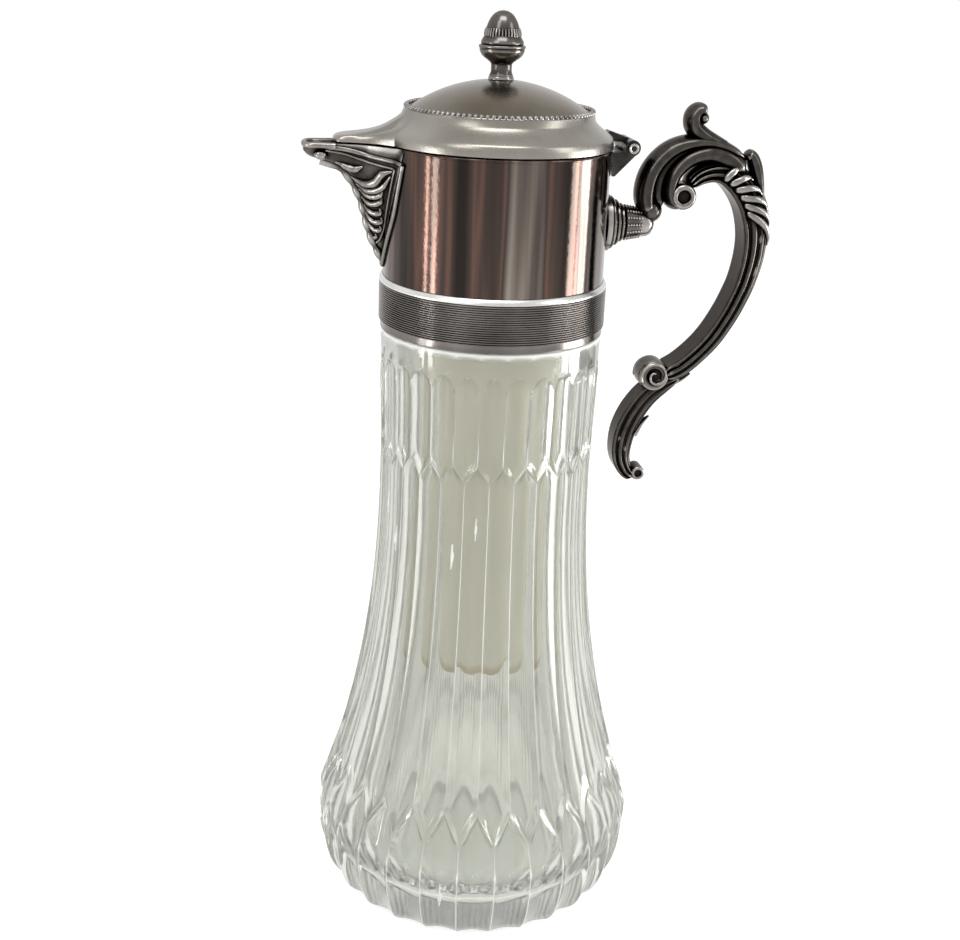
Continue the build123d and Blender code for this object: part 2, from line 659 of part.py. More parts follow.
def finial_washer():
    """Small foot between the stem and the lid."""
    return ring(FINIAL_SCREW_R + FIT_GAP, WASHER_R, LID_TOP_Z + FIT_GAP, STEM_Z)


def finial_stem():
    """Waisted stem with the flared cup of the acorn."""
    bore_r = FINIAL_SCREW_R + FIT_GAP
    low = STEM_Z + FIT_GAP
    outline = [(bore_r, low), (STEM_R, low), (STEM_WAIST_R, (low + CUP_Z) / 2), (STEM_R, CUP_Z)]
    outline += [(CUP_R * wide, CUP_Z + CUP_HEIGHT * high) for wide, high in CUP_SHARES]
    return revolved(outline + [(bore_r, CUP_EDGE_Z)])


def finial_acorn():
    """Pointed nut of the acorn, with the screw that runs down through the lid."""
    low = CUP_EDGE_Z + FIT_GAP
    rise = FINIAL_TOP_Z - low
    screw_low = LID_TOP_Z - LID_WALL - FINIAL_NUT_HEIGHT - FINIAL_SCREW_END
    crown = [(ACORN_R * wide, low + rise * high) for wide, high in ACORN_SHARES]
    shank = [(0, screw_low), (FINIAL_SCREW_R, screw_low), (FINIAL_SCREW_R, low)]
    return revolved(shank + crown + [(0, FINIAL_TOP_Z)])


def finial_nut():
    """Six-sided nut under the crown of the lid."""
    low = crown_z(FINIAL_NUT_R) - LID_WALL - 2 * FIT_GAP - FINIAL_NUT_HEIGHT
    sketch = RegularPolygon(FINIAL_NUT_R, 6) - Circle(FINIAL_SCREW_R + FIT_GAP)
    return extrude(Plane.XY.offset(low) * sketch, FINIAL_NUT_HEIGHT)


NODES = {
    "glass_flask": glass_flask,
    "ice_tube": ice_tube,
    "hanger_ring": hanger_ring,
    "neck_gasket": neck_gasket,
    "threaded_ring": threaded_ring,
    "reeded_band": reeded_band,
    "collar_shell": collar_shell,
    "collar_shelf": collar_shelf,
    "pour_spout": pour_spout,
    "handle_socket": handle_socket,
    "handle_stud": handle_stud,
    "handle": handle,
    "hinge_bracket": hinge_bracket,
    "hinge_pin": hinge_pin,
    "lid_leaf": lid_leaf,
    "lid_shell": lid_shell,
    "bead_ring": bead_ring,
    "finial_washer": finial_washer,
    "finial_stem": finial_stem,
    "finial_acorn": finial_acorn,
    "finial_nut": finial_nut,
}

os.makedirs("parts", exist_ok=True)
for name, make in NODES.items():
    export_step(make(), f"parts/{name}.step")
    print("written", name)
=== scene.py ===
import math

import bmesh
import bpy
import numpy as np
from mathutils import Matrix, Vector


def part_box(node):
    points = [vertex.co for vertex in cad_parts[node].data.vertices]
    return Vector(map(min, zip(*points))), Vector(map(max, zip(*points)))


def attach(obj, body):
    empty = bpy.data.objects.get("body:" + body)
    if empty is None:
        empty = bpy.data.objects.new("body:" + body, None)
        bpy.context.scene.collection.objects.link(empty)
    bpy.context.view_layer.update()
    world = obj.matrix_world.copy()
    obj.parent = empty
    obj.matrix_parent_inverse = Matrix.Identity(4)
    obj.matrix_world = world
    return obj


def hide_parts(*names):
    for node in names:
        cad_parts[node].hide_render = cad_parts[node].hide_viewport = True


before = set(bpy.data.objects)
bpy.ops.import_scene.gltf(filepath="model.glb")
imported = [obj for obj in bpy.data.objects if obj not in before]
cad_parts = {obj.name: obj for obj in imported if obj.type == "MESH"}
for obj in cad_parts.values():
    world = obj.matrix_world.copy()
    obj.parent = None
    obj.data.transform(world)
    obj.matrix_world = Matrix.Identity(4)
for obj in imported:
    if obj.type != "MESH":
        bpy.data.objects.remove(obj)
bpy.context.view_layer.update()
scene = bpy.context.scene

# Lengths below are in millimetres and angles in degrees, until add_mesh turns them into metres.
MM = 0.001


def node_box(name):
    """Lowest and highest corner of a CAD node, in millimetres."""
    low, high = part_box(name)
    return [c / MM for c in low], [c / MM for c in high]


# Places read from the frame
flask_high = node_box("glass_flask")[1]
band_low, band_high = node_box("reeded_band")
collar_low, collar_high = node_box("collar_shell")
tube_low, tube_high = node_box("ice_tube")
lid_low = node_box("lid_shell")[0]
stem_low, stem_high = node_box("finial_stem")
acorn_high = node_box("finial_acorn")[1]
washer_low, washer_high = node_box("finial_washer")

# Glass flask, as in the solids
FLUTES = 28
FLUTE_COLUMNS = 20
FOOT_R = 43.0
BULGE_R = flask_high[0]
BULGE_Z = 30.0
NECK_R = 35.8
FLARE_TOP_Z = 170.0
FLARE_POWER = 2.36
UNDER_POWER = 2.3
SHOULDER_R = 36.8
SHOULDER_Z = 208.6
LIP_Z = flask_high[2]
FINISH_R = 34.0
BORE_R = 30.4
BASE_THICKNESS = 11.0
CAVITY_INSET = 5.8
UNDER_Z = 2.2
BULGE_POINTS = (40.0, 51.0)
NECK_POINTS = (165.5, 171.0)
FLUTE_TOP_Z = 201.0
FLUTE_DEPTH = 1.9
NECK_FLUTE_DEPTH = 1.25
RIB_HEIGHT = 0.32

# Ice tube
TUBE_R = 23.5
TUBE_WALL = 1.8

# Head
COLLAR_R = 36.3
COLLAR_WALL = 1.1
RIM_Z = collar_high[2]
BAND_R = band_high[0]
REEDS = 18
REED_DEPTH = 0.58
REED_SECTION = ((0.08, 0.0), (0.22, 0.72), (0.36, 0.95), (0.5, 1.0), (0.64, 0.95), (0.78, 0.72), (0.92, 0.0))
STRIP_HEIGHT = 2.2
EDGE_HEIGHT = 2.0
SPOUT_RIM_Z = 268.3
OPENING_DEPTH = 34.0
OPENING_HALF_ANGLE = 25.0
# Sections of the spout: distance out, half width, depth, sharpness
SPOUT_SECTIONS = (
    (31.0, 17.5, 39.5, 0.95),
    (36.3, 13.5, 37.0, 0.90),
    (40.5, 10.2, 29.0, 0.75),
    (44.0, 8.0, 17.0, 0.60),
    (49.0, 6.6, 9.0, 0.50),
    (55.0, 5.9, 6.2, 0.45),
    (60.0, 5.2, 4.6, 0.45),
    (62.0, 3.1, 2.8, 0.45),
)
# Raised lines under the spout: (distance from the middle, height) points and the line's radius
SPOUT_FRAME = (
    (((17.6, 263.6), (15.6, 256.1), (12.9, 247.3), (8.1, 238.7), (3.0, 231.4), (0.6, 229.4)), 0.8),
    (((13.2, 261.8), (9.6, 253.4), (6.2, 246.0), (2.6, 238.5), (0.4, 236.2)), 0.45),
    (((17.6, 263.6), (12.6, 264.4), (9.4, 265.0), (7.2, 265.8), (6.0, 266.8), (5.3, 267.5), (4.7, 267.7)),
     0.8),
    (((13.2, 261.8), (9.2, 262.8), (6.6, 263.8), (5.4, 265.2), (4.9, 266.2)), 0.45),
)
SPOUT_FRONDS = (
    (((2.8, 262.4), (3.2, 261.2), (4.6, 260.6), (6.2, 261.6)), 1.3),
    (((2.0, 257.8), (4.6, 256.2), (7.4, 256.8), (9.8, 259.8), (12.0, 261.0)), 1.6),
    (((2.2, 255.6), (5.4, 254.0), (8.4, 255.4), (11.2, 259.4)), 1.3),
    (((2.2, 254.0), (5.0, 252.2), (7.2, 252.8), (8.4, 254.8)), 1.2),
    (((1.8, 251.6), (4.6, 249.8), (6.6, 250.6), (7.4, 252.2)), 1.2),
    (((1.8, 249.0), (3.9, 246.9), (5.4, 247.0), (6.0, 248.6)), 1.1),
    (((1.4, 246.6), (3.2, 244.0), (4.7, 244.2), (5.2, 245.6)), 1.1),
    (((1.0, 243.4), (2.4, 241.2), (3.6, 241.4), (4.0, 242.6)), 1.0),
    (((0.4, 239.6), (1.0, 238.4), (1.9, 238.8), (2.2, 239.8)), 0.8),
)
BOSS_RADII = (0.4, 0.9, 1.25, 1.45, 1.5, 1.5, 1.5, 1.45, 1.25, 0.9, 0.4)
LIP_ROLL = ((52.0, 6.2), (56.0, 5.6), (59.6, 5.0), (61.2, 3.4), (61.7, 0.0))
SOCKET_Z = 244.0
SOCKET_R = 9.3
SOCKET_END = 49.0
SOCKET_BEAD_R = 0.45
SOCKET_BEAD_ROWS = 14

# Handle lines: distance out, height, half thickness
GRIP_WIDTH = 11.6
GRIP = (
    (62.6, 256.6, 1.6), (66.2, 259.8, 2.6), (70.5, 261.4, 3.2), (75.2, 261.2, 4.0), (80.2, 257.8, 4.5),
    (84.4, 252.5, 4.8), (86.9, 246.5, 4.9), (87.9, 239.5, 4.6), (87.6, 232.5, 4.4), (86.0, 224.8, 4.1),
    (84.0, 219.2, 4.0), (81.2, 213.0, 3.9), (76.9, 205.7, 3.8), (72.1, 200.0, 3.7), (66.2, 194.8, 3.7),
    (59.6, 191.4, 3.4),
)
GRIP_SECTION = (
    (-1.0, 0.0), (-1.0, 0.45), (-1.0, 0.86), (-0.93, 0.97), (-0.82, 1.0), (-0.7, 0.95), (-0.62, 0.84),
    (-0.52, 0.86), (-0.38, 0.97), (-0.22, 1.0), (-0.08, 0.94), (0.02, 0.8), (0.14, 0.8), (0.26, 0.88),
    (0.4, 0.88), (0.52, 0.78), (0.6, 0.62), (0.72, 0.58), (0.86, 0.46), (0.96, 0.24), (1.0, 0.0),
)
ROLL_WIDTH = 12.0
ROLL = (
    (61.6, 250.6, 1.6), (58.6, 251.0, 2.2), (57.0, 254.2, 2.6), (57.4, 258.8, 2.9), (59.6, 262.6, 3.1),
    (63.0, 265.4, 3.2), (67.3, 267.0, 3.4), (71.8, 267.0, 3.7), (76.8, 265.0, 3.8), (81.6, 261.2, 3.4),
)
ROLL_SECTION = (
    (-1.0, 0.0), (-0.93, 0.4), (-0.74, 0.7), (-0.4, 0.93), (0.0, 1.0),
    (0.4, 0.93), (0.74, 0.7), (0.93, 0.4), (1.0, 0.0),
)
# Half section of a rolled end with an eye, in shares of its radius and of its half width
EYE_SECTION = (
    (0.0, 0.8), (0.42, 0.8), (0.48, 0.92), (0.58, 0.98), (0.72, 1.0), (0.88, 0.95), (0.99, 0.8), (1.0, 0.5),
)
FILLET_WIDTH = 10.6
FILLET = (
    (50.6, 247.0, 2.6), (49.2, 252.6, 3.4), (49.9, 258.8, 3.4), (52.6, 264.0, 3.2), (57.0, 268.0, 3.0),
    (62.6, 270.2, 2.7), (69.0, 270.6, 2.2), (75.0, 269.2, 1.8), (81.2, 266.2, 1.3),
)
CORE_WIDTH = 7.4
CORE = (
    (54.6, 249.6, 1.8), (53.2, 254.0, 2.4), (53.8, 259.6, 2.6), (56.6, 264.4, 2.6), (61.0, 267.8, 2.4),
    (67.6, 269.2, 2.2), (74.0, 268.2, 2.2),
)
TAIL_WIDTH = 8.6
TAIL = (
    (66.0, 191.2, 1.8), (60.8, 188.6, 3.4), (55.6, 184.4, 4.0), (51.4, 178.6, 4.2), (48.8, 172.6, 4.2),
    (47.7, 167.0, 3.9), (47.8, 162.0, 3.4), (49.6, 157.8, 2.7), (52.4, 155.4, 1.9),
)
CURL_WIDTH = 9.4
CURL = (
    (77.0, 268.6, 1.6), (71.6, 270.6, 2.4), (67.0, 272.6, 3.0), (63.9, 275.4, 3.0), (63.4, 278.8, 2.7),
    (65.2, 280.9, 2.3), (67.4, 280.4, 1.7),
)
# Leaf on the shoulder of the grip, in shares of the grip's length
LOBES = 6
LEAF_START = 0.2
LEAF_END = 0.52
LEAF_SEAT = 0.99
SECOND_LEAF_WIDTH = 7.0
SECOND_LEAF = (
    (88.6, 249.6, 1.0), (88.3, 254.0, 1.5), (87.3, 258.6, 2.0), (86.0, 263.0, 2.3), (84.4, 266.2, 2.1),
    (82.6, 267.2, 1.5),
)
# Rolled ends: name, distance out, height, radius, width. The first have an eye, the others are plain knobs.
VOLUTES = (
    ("upper_end", 61.2, 253.4, 4.3, 12.4),
    ("lower_end", 56.6, 192.2, 5.4, 9.6),
    ("tail_end", 53.8, 156.6, 2.5, 7.6),
)
KNOBS = (
    ("bulb", 51.4, 248.2, 4.0, 10.6),
    ("curl_end", 66.3, 278.3, 2.2, 9.6),
    ("leaf_end", 83.0, 266.0, 1.4, 6.6),
)
LEAF_TIPS = (
    ("leaf_tip", ((61.6, 188.8), (66.4, 189.8), (70.4, 192.0))),
    ("tail_tip", ((51.6, 170.4), (54.2, 174.2), (57.0, 176.8))),
)

# Lid
LID_R = 36.8
LID_STEP_R = 30.3
LID_STEP_Z = 279.2
LID_CROWN_R = 28.8
LID_TOP_Z = 288.6
LID_Z = lid_low[2]
BEAK = ((27.0, 19.5), (32.0, 15.2), (36.5, 11.6), (41.0, 8.6), (46.0, 6.7), (51.0, 5.4), (52.6, 2.7))
# Fall of the lid outside its step: share of the way out and share of the fall
FLANGE_FALL = ((0, 0), (0.05, 0.2), (0.3, 0.38), (0.7, 0.56), (0.9, 0.66), (0.97, 0.74), (1.0, 0.86))
BEAK_FALL = (
    (0, 0), (0.05, 0.2), (0.28, 0.51), (0.48, 0.66), (0.7, 0.745), (0.9, 0.8), (0.97, 0.85), (1.0, 0.93),
)
LID_WALL = 1.1
BEADS = 102
BEAD_R = 0.82
BEAD_RING_R = 29.65

# Finial: radius and height above the foot of each piece
STEM_SECTION = (
    (3.75, 0.0), (3.7, 0.4), (3.45, 0.8), (3.3, 1.6), (3.3, 3.0), (3.5, 3.8), (4.6, 4.7),
    (6.2, 5.9), (7.0, 7.3), (7.1, 8.1), (7.35, 8.6), (7.35, 9.1), (6.9, 9.35),
)
ACORN_SECTION = (
    (6.6, 0.0), (6.75, 0.7), (6.4, 1.5), (5.95, 2.2), (5.6, 2.8), (5.45, 3.6), (5.35, 4.4),
    (5.0, 5.6), (4.5, 6.9), (3.8, 8.1), (2.8, 9.2),
)
ACORN_TEETH = 36
TOOTH_LINE = ((5.72, 2.5), (5.66, 3.4), (5.35, 4.9))

# Camera, in the frame of the picture
VIEW_TURN = 9.0
CAMERA_DISTANCE = 455.9
CAMERA_HEIGHT = 325.3
CAMERA_SIDE = -1.62
CAMERA_PITCH = 20.225
CAMERA_ROLL = 2.31
FOCAL_SHARE = 1400 / 960

# Lamps and floor, in metres: the height that lamps aim at, the place of the low lamps, half the floor
AIM_Z = 0.16
LOW_DISTANCE = 0.62
LOW_HEIGHT = 0.13
LOW_TALL = 0.26
FLOOR_REACH = 8.0


def smooth_line(points, steps=8):
    """Points along a smooth curve through the given points, of any dimension."""
    p = np.asarray(points, float)
    p = np.vstack([2 * p[0] - p[1], p, 2 * p[-1] - p[-2]])
    out = []
    for k in range(1, len(p) - 2):
        for t in np.linspace(0, 1, steps, endpoint=False):
            a, b, c, d = p[k - 1], p[k], p[k + 1], p[k + 2]
            bend, twist = 2 * a - 5 * b + 4 * c - d, 3 * b - a - 3 * c + d
            out.append(0.5 * (2 * b + (c - a) * t + bend * t**2 + twist * t**3))
    out.append(p[-2])
    return np.array(out)


def add_mesh(name, vertices, faces, crease=40.0):
    """A closed mesh object from points in millimetres, welded, with its normals outward."""
    mesh = bpy.data.meshes.new(name)
    mesh.from_pydata([tuple(float(c) * MM for c in v) for v in vertices], [], faces)
    work = bmesh.new()
    work.from_mesh(mesh)
    bmesh.ops.remove_doubles(work, verts=work.verts, dist=2e-6)
    bmesh.ops.dissolve_degenerate(work, edges=work.edges, dist=1e-7)
    bmesh.ops.recalc_face_normals(work, faces=work.faces)
    work.to_mesh(mesh)
    work.free()
    mesh.shade_smooth()
    mesh.set_sharp_from_angle(angle=math.radians(crease))
    obj = bpy.data.objects.new(name, mesh)
    scene.collection.objects.link(obj)
    return obj


def grid_faces(rows, columns, wrap_columns=True, wrap_rows=False):
    """Quads over a grid of points stored row by row."""
    faces = []
    for i in range(rows if wrap_rows else rows - 1):
        for j in range(columns if wrap_columns else columns - 1):
            a, b = i * columns + j, i * columns + (j + 1) % columns
            c, d = ((i + 1) % rows) * columns + (j + 1) % columns, ((i + 1) % rows) * columns + j
            faces.append((a, b, c, d))
    return faces


def side_faces(rows, columns, pairs, cap):
    """Faces that close both sides of a folded grid: strips between paired rows, and a cap at the fold."""
    faces = []
    for i in range(pairs):
        j = rows - 1 - i
        faces.append(tuple(k * columns for k in (i, i + 1, j - 1, j)))
        faces.append(tuple(k * columns + columns - 1 for k in (i, j, j - 1, i + 1)))
    faces.append(tuple(k * columns for k in cap))
    faces.append(tuple(k * columns + columns - 1 for k in reversed(cap)))
    return faces


def lathe(name, profile, segments=192, axis="Z", centre=(0.0, 0.0, 0.0), crease=40.0):
    """A turned piece from a closed profile of (radius, place along the axis) points."""
    angles = np.linspace(0, 2 * math.pi, segments, endpoint=False)
    points = []
    for r, along in profile:
        for a in angles:
            side, up = r * math.cos(a), r * math.sin(a)
            place = {"X": (along, side, up), "Y": (side, along, up), "Z": (side, up, along)}[axis]
            points.append([c + d for c, d in zip(centre, place)])
    return add_mesh(name, points, grid_faces(len(profile), segments, wrap_rows=True), crease)


def ball_profile(radius, step):
    """Half circle of a bead, from its top to its foot, at a step in degrees."""
    turns = [math.radians(a) for a in range(0, 181, step)]
    return [(radius * math.sin(a), radius * math.cos(a)) for a in turns]


def join(name, pieces):
    """One object from several."""
    vertices, faces = [], []
    for obj in pieces:
        first = len(vertices)
        vertices += [v.co / MM for v in obj.data.vertices]
        faces += [tuple(first + i for i in p.vertices) for p in obj.data.polygons]
        bpy.data.objects.remove(obj)
    return add_mesh(name, vertices, faces)


def tube_along(name, line, radii, sides=14, flat=1.0, up=(0, 1, 0)):
    """A closed tube with rounded ends along a line, its radius given at each point."""
    line = np.asarray(line, float)
    tangents = np.gradient(line, axis=0)
    rings = []
    for p, t, r in zip(line, tangents, radii):
        t = t / np.linalg.norm(t)
        side = np.cross(t, up)
        side /= max(np.linalg.norm(side), 1e-9)
        other = np.cross(side, t)
        for a in np.linspace(0, 2 * math.pi, sides, endpoint=False):
            rings.append(p + r * (math.cos(a) * side * flat + math.sin(a) * other))
    faces = grid_faces(len(line), sides)
    last = (len(line) - 1) * sides
    faces.append(tuple(range(sides)))
    faces.append(tuple(last + k for k in range(sides)))
    return add_mesh(name, rings, faces)


def glass_radius(z):
    """Outer radius of the glass along its ribs."""
    if z >= FLARE_TOP_Z:
        return NECK_R + (SHOULDER_R - NECK_R) * (z - FLARE_TOP_Z) / (SHOULDER_Z - FLARE_TOP_Z)
    if z >= BULGE_Z:
        return NECK_R + (BULGE_R - NECK_R) * (1 - (z - BULGE_Z) / (FLARE_TOP_Z - BULGE_Z)) ** FLARE_POWER
    drop = (BULGE_Z - z) / BULGE_Z
    return FOOT_R + (BULGE_R - FOOT_R) * (1 - min(drop, 1) ** UNDER_POWER) ** (1 / UNDER_POWER)


def ease(x):
    """Smooth step from 0 to 1."""
    x = min(max(x, 0.0), 1.0)
    return x * x * (3 - 2 * x)


def scoop(across, rib_share):
    """Share of a flute's depth, from -1 to 1 across it, with a narrow flat rib at each side."""
    return max(0.0, 1 - (across / (1 - rib_share)) ** 2)


def rib_line(distance, width):
    """Height of the fine raised line along a rib, at a distance from its middle."""
    return RIB_HEIGHT * math.exp(-((distance / width) ** 2))


def flask_columns():
    """Rows of the outer glass surface, following the zigzags between the rows of flutes."""
    columns = FLUTES * FLUTE_COLUMNS
    stretches = []
    for k in range(columns):
        even = (k % FLUTE_COLUMNS) / FLUTE_COLUMNS
        t = even - 0.055 * math.sin(4 * math.pi * even)
        zig = abs(2 * t - 1)
        bulge_z = BULGE_POINTS[0] + (BULGE_POINTS[1] - BULGE_POINTS[0]) * (1 - zig)
        neck_z = NECK_POINTS[0] + (NECK_POINTS[1] - NECK_POINTS[0]) * zig
        top_z = FLUTE_TOP_Z - 4.5 + 4.5 * math.sqrt(max(0.0, 1 - (2 * t - 1) ** 2))
        stretches.append((t, 0.0, bulge_z, neck_z, top_z, SHOULDER_Z))
    rows = []
    counts = (30, 64, 26, 6)
    for part, count in enumerate(counts):
        for i in range(count):
            share = i / count
            eased = 0.5 - 0.5 * math.cos(math.pi * share) if part < 3 else share
            row = []
            for k, stations in enumerate(stretches):
                t, low, high = stations[0], stations[1 + part], stations[2 + part]
                z = low + (high - low) * eased
                r = glass_radius(z)
                if part == 0:
                    across = 2 * t - 1
                    fade = ease((high - z) / 3.5) * (0.62 + 0.38 * ease(z / 9.0))
                    r -= FLUTE_DEPTH * scoop(across, 0.08) * fade
                    r += max(rib_line(1 - abs(across), 0.06), rib_line(high - z, 0.5)) * ease(z / 6.0)
                elif part == 1:
                    across = 2 * ((t + 0.5) % 1) - 1
                    fade = min(ease((z - low) / 4.5), ease((high - z) / 4.0))
                    depth = FLUTE_DEPTH + (NECK_FLUTE_DEPTH - FLUTE_DEPTH) * ease((z - 60) / 100)
                    r -= depth * scoop(across, 0.14) * fade
                    r += max(rib_line(1 - abs(across), 0.06), rib_line(z - low, 0.5), rib_line(high - z, 0.5))
                elif part == 2:
                    across = 2 * t - 1
                    fade = min(ease((z - low) / 4.0), ease((high - z) / 2.5))
                    r -= NECK_FLUTE_DEPTH * scoop(across, 0.12) * fade
                    r += max(rib_line(1 - abs(across), 0.06), rib_line(z - low, 0.5)) * ease((high - z) / 2.0)
                angle = 2 * math.pi * (k // FLUTE_COLUMNS + t) / FLUTES
                row.append((r * math.cos(angle), r * math.sin(angle), z))
            rows.append(row)
    return rows, columns


def build_flask():
    """Pressed glass flask: fluted outside, smooth inside, slightly hollowed under the foot."""
    rows, columns = flask_columns()
    angles = [math.atan2(y, x) for x, y, z in rows[0]]

    def ring(r, z):
        return [(r * math.cos(a), r * math.sin(a), z) for a in angles]

    outside = [(SHOULDER_R, SHOULDER_Z), (SHOULDER_R - 0.6, SHOULDER_Z + 0.4), (FINISH_R, SHOULDER_Z + 0.6),
               (FINISH_R, LIP_Z - 0.8), (FINISH_R - 0.8, LIP_Z), (BORE_R + 0.8, LIP_Z), (BORE_R, LIP_Z - 0.8)]
    heights = np.linspace(SHOULDER_Z, BULGE_Z, 40)
    inside = [(max(BORE_R, glass_radius(z) - CAVITY_INSET), z) for z in heights]
    floor_r = inside[-1][0]
    drop = BULGE_Z - BASE_THICKNESS
    turns = [math.radians(a) for a in (15, 30, 45, 60, 75, 90)]
    corner = [(floor_r * (0.62 + 0.38 * math.cos(a)), BULGE_Z - drop * math.sin(a)) for a in turns]
    inside += corner + [(floor_r * 0.3, BASE_THICKNESS + 0.3), (0.0, BASE_THICKNESS + 0.5)]
    under = [(0.0, 1.6), (FOOT_R * 0.5, 1.5), (FOOT_R * 0.82, 0.9), (FOOT_R * 0.9, 0.0)]
    everything = rows + [ring(r, z) for r, z in outside + inside + under]
    points = [p for row in everything for p in row]
    return add_mesh("glass_flask_fluted", points, grid_faces(len(everything), columns, wrap_rows=True), 28)


def glass_slot(polygon):
    """Which of the glass materials a face of the flask takes: outside, inside or under the foot."""
    x, y, z = polygon.center / MM
    if z < UNDER_Z:
        return 2
    return 1 if math.hypot(x, y) < max(BORE_R, glass_radius(z) - CAVITY_INSET) + 1.0 else 0


def build_tube():
    """Cream ice tube with a rolled mouth and a rounded foot."""
    r, wall = TUBE_R, TUBE_WALL
    low, top = tube_low[2], tube_high[2]
    foot = [math.radians(a) for a in (20, 40, 60, 80, 90)]
    outer = [(0.0, low), (r - 5, low)]
    outer += [(r - 5 + 5 * math.sin(a), low + 5 - 5 * math.cos(a)) for a in foot]
    outer += [(r, low + (top - low) * s) for s in (0.1, 0.3, 0.5, 0.7, 0.9)]
    roll = [math.radians(a) for a in (150, 120, 90, 60, 30, 0, -30, -60)]
    mouth = [(r + 0.9 * math.sin(a), top - 0.9 + 0.9 * math.cos(a)) for a in roll]
    inner = [(r - wall, top - 1.8), (r - wall, low + 6), (r - wall - 1.2, low + 3)]
    inner += [(r - wall - 4, low + wall), (0.0, low + wall)]
    return lathe("ice_tube_cream", outer + mouth + inner, 160)


def build_band():
    """Reeded band with a plain strip below."""
    low, top = band_low[2], band_high[2]
    inner = COLLAR_R + 0.05
    reeds_low, reeds_high = low + STRIP_HEIGHT, top - EDGE_HEIGHT
    step = (reeds_high - reeds_low) / REEDS
    floor_r = BAND_R - REED_DEPTH
    profile = [(inner, low), (BAND_R - 0.5, low), (floor_r, low + 0.25), (floor_r, reeds_low - 0.2)]
    for k in range(REEDS):
        for share, lift in REED_SECTION:
            profile.append((BAND_R - REED_DEPTH * (1 - lift), reeds_low + step * (k + share)))
    profile += [(floor_r, reeds_high), (inner, reeds_high)]
    return lathe("band_reeded", profile, 256, crease=25)


def build_band_edge():
    """Bevelled upper edge of the band, painted bright as a highlight."""
    top = band_high[2]
    inner, low = COLLAR_R + 0.05, top - EDGE_HEIGHT
    profile = [(inner, low), (BAND_R - REED_DEPTH, low), (BAND_R - 0.05, low + 0.2), (BAND_R, low + 0.5),
               (BAND_R - 0.12, low + 0.8), (inner + 0.55, top - 0.2), (inner + 0.25, top), (inner, top)]
    return lathe("band_edge", profile, 256, crease=50)


def spout_values(u):
    """Half width, depth and sharpness of the spout at a distance out."""
    return [float(np.interp(u, spout_line[:, 0], spout_line[:, c])) for c in (1, 2, 3)]


spout_line = smooth_line(SPOUT_SECTIONS, 12)


def opening_angle(z):
    """Half angle of the collar's opening to the spout at a height."""
    low_z = SPOUT_RIM_Z - OPENING_DEPTH
    if z <= low_z:
        return 0.0
    return OPENING_HALF_ANGLE * min(1.0, (z - low_z) / (SPOUT_RIM_Z - low_z)) ** 0.9


def build_collar():
    """Thin polished collar with a rolled rim and the opening behind the spout."""
    low, top = collar_low[2], RIM_Z
    inner = COLLAR_R - COLLAR_WALL
    heights = list(np.linspace(low, top - 1.2, 36))
    outer = [(COLLAR_R, z) for z in heights]
    rim_r = COLLAR_R - COLLAR_WALL / 2
    turns = [math.radians(a) for a in range(-20, 221, 30)]
    rim = [(rim_r + 0.8 * math.cos(a), top - 0.8 + 0.8 * math.sin(a)) for a in turns]
    back = [(inner, z) for z in reversed(heights)]
    profile = outer + rim + back
    count = 288
    points = []
    for r, z in profile:
        half = math.radians(opening_angle(z))
        for s in np.linspace(0, 1, count):
            a = math.pi + half + s * (2 * math.pi - 2 * half)
            points.append((r * math.cos(a), r * math.sin(a), z))
    faces = grid_faces(len(profile), count, wrap_columns=False, wrap_rows=True)
    first = len(outer) - 1
    faces += side_faces(len(profile), count, first, range(first, first + len(rim) + 2))
    return add_mesh("collar_polished", points, faces, 35)


def spout_section(u, shrink=0.0, floor=0.0):
    """Section of the spout at a distance out, from rim to keel to rim."""
    w, d, e = spout_values(u)
    w = max(w - shrink, 0.4)
    low = SPOUT_RIM_Z - max(d - floor, 0.5)
    s = np.linspace(0, 1, 14) ** 1.15
    side = [(w * (1 - q) ** e, SPOUT_RIM_Z - (SPOUT_RIM_Z - low) * q) for q in s]
    right = [(-u, y, z) for y, z in side]
    left = [(-u, -y, z) for y, z in reversed(side[:-1])]
    return right + left


def build_spout():
    """Cast spout: a trough that narrows from the collar to a rounded lip."""
    stations = list(np.linspace(31.0, 58.0, 40)) + [59.0, 60.0, 60.8, 61.4, 61.8, 62.0]
    outer = [spout_section(u) for u in stations]
    inner = [spout_section(u, 1.3, 1.9) for u in stations[:-2]]
    for section in outer + inner:
        for k, (x, y, z) in enumerate(section):
            r = math.hypot(x, y)
            if r < COLLAR_R + 0.25:
                grow = (COLLAR_R + 0.25) / max(r, 1e-6)
                section[k] = (x * grow, y * grow, z)
    columns = len(outer[0])
    rows = outer + inner[::-1]
    points = [p for row in rows for p in row]
    faces = grid_faces(len(rows), columns, wrap_columns=False, wrap_rows=True)
    faces += side_faces(len(rows), columns, len(inner) - 1, range(len(outer) - 3, len(outer) + 1))
    return add_mesh("spout_cast", points, faces, 50)


def spout_surface(y, z):
    """Place on the outside of the spout seen from the front at (y, z)."""
    low_u, high_u = 31.0, 61.9
    for _ in range(40):
        u = (low_u + high_u) / 2
        w, d, e = spout_values(u)
        s = (SPOUT_RIM_Z - z) / d
        edge = w * (1 - s) ** e if s < 1 else 0.0
        if s < 1 and edge > abs(y):
            low_u = u
        else:
            high_u = u
    u = max(low_u, math.sqrt(max((COLLAR_R + 0.3) ** 2 - y * y, 0)))
    return (-u, y, z)


def spout_tube(name, line, side, radii):
    """A raised cast line on the outside of the spout, through (across, height) points."""
    points = [spout_surface(side * y, z) for y, z in smooth_line(line)]
    across = np.interp(np.linspace(0, 1, len(points)), np.linspace(0, 1, len(radii)), radii)
    return tube_along(name, points, across, 12)


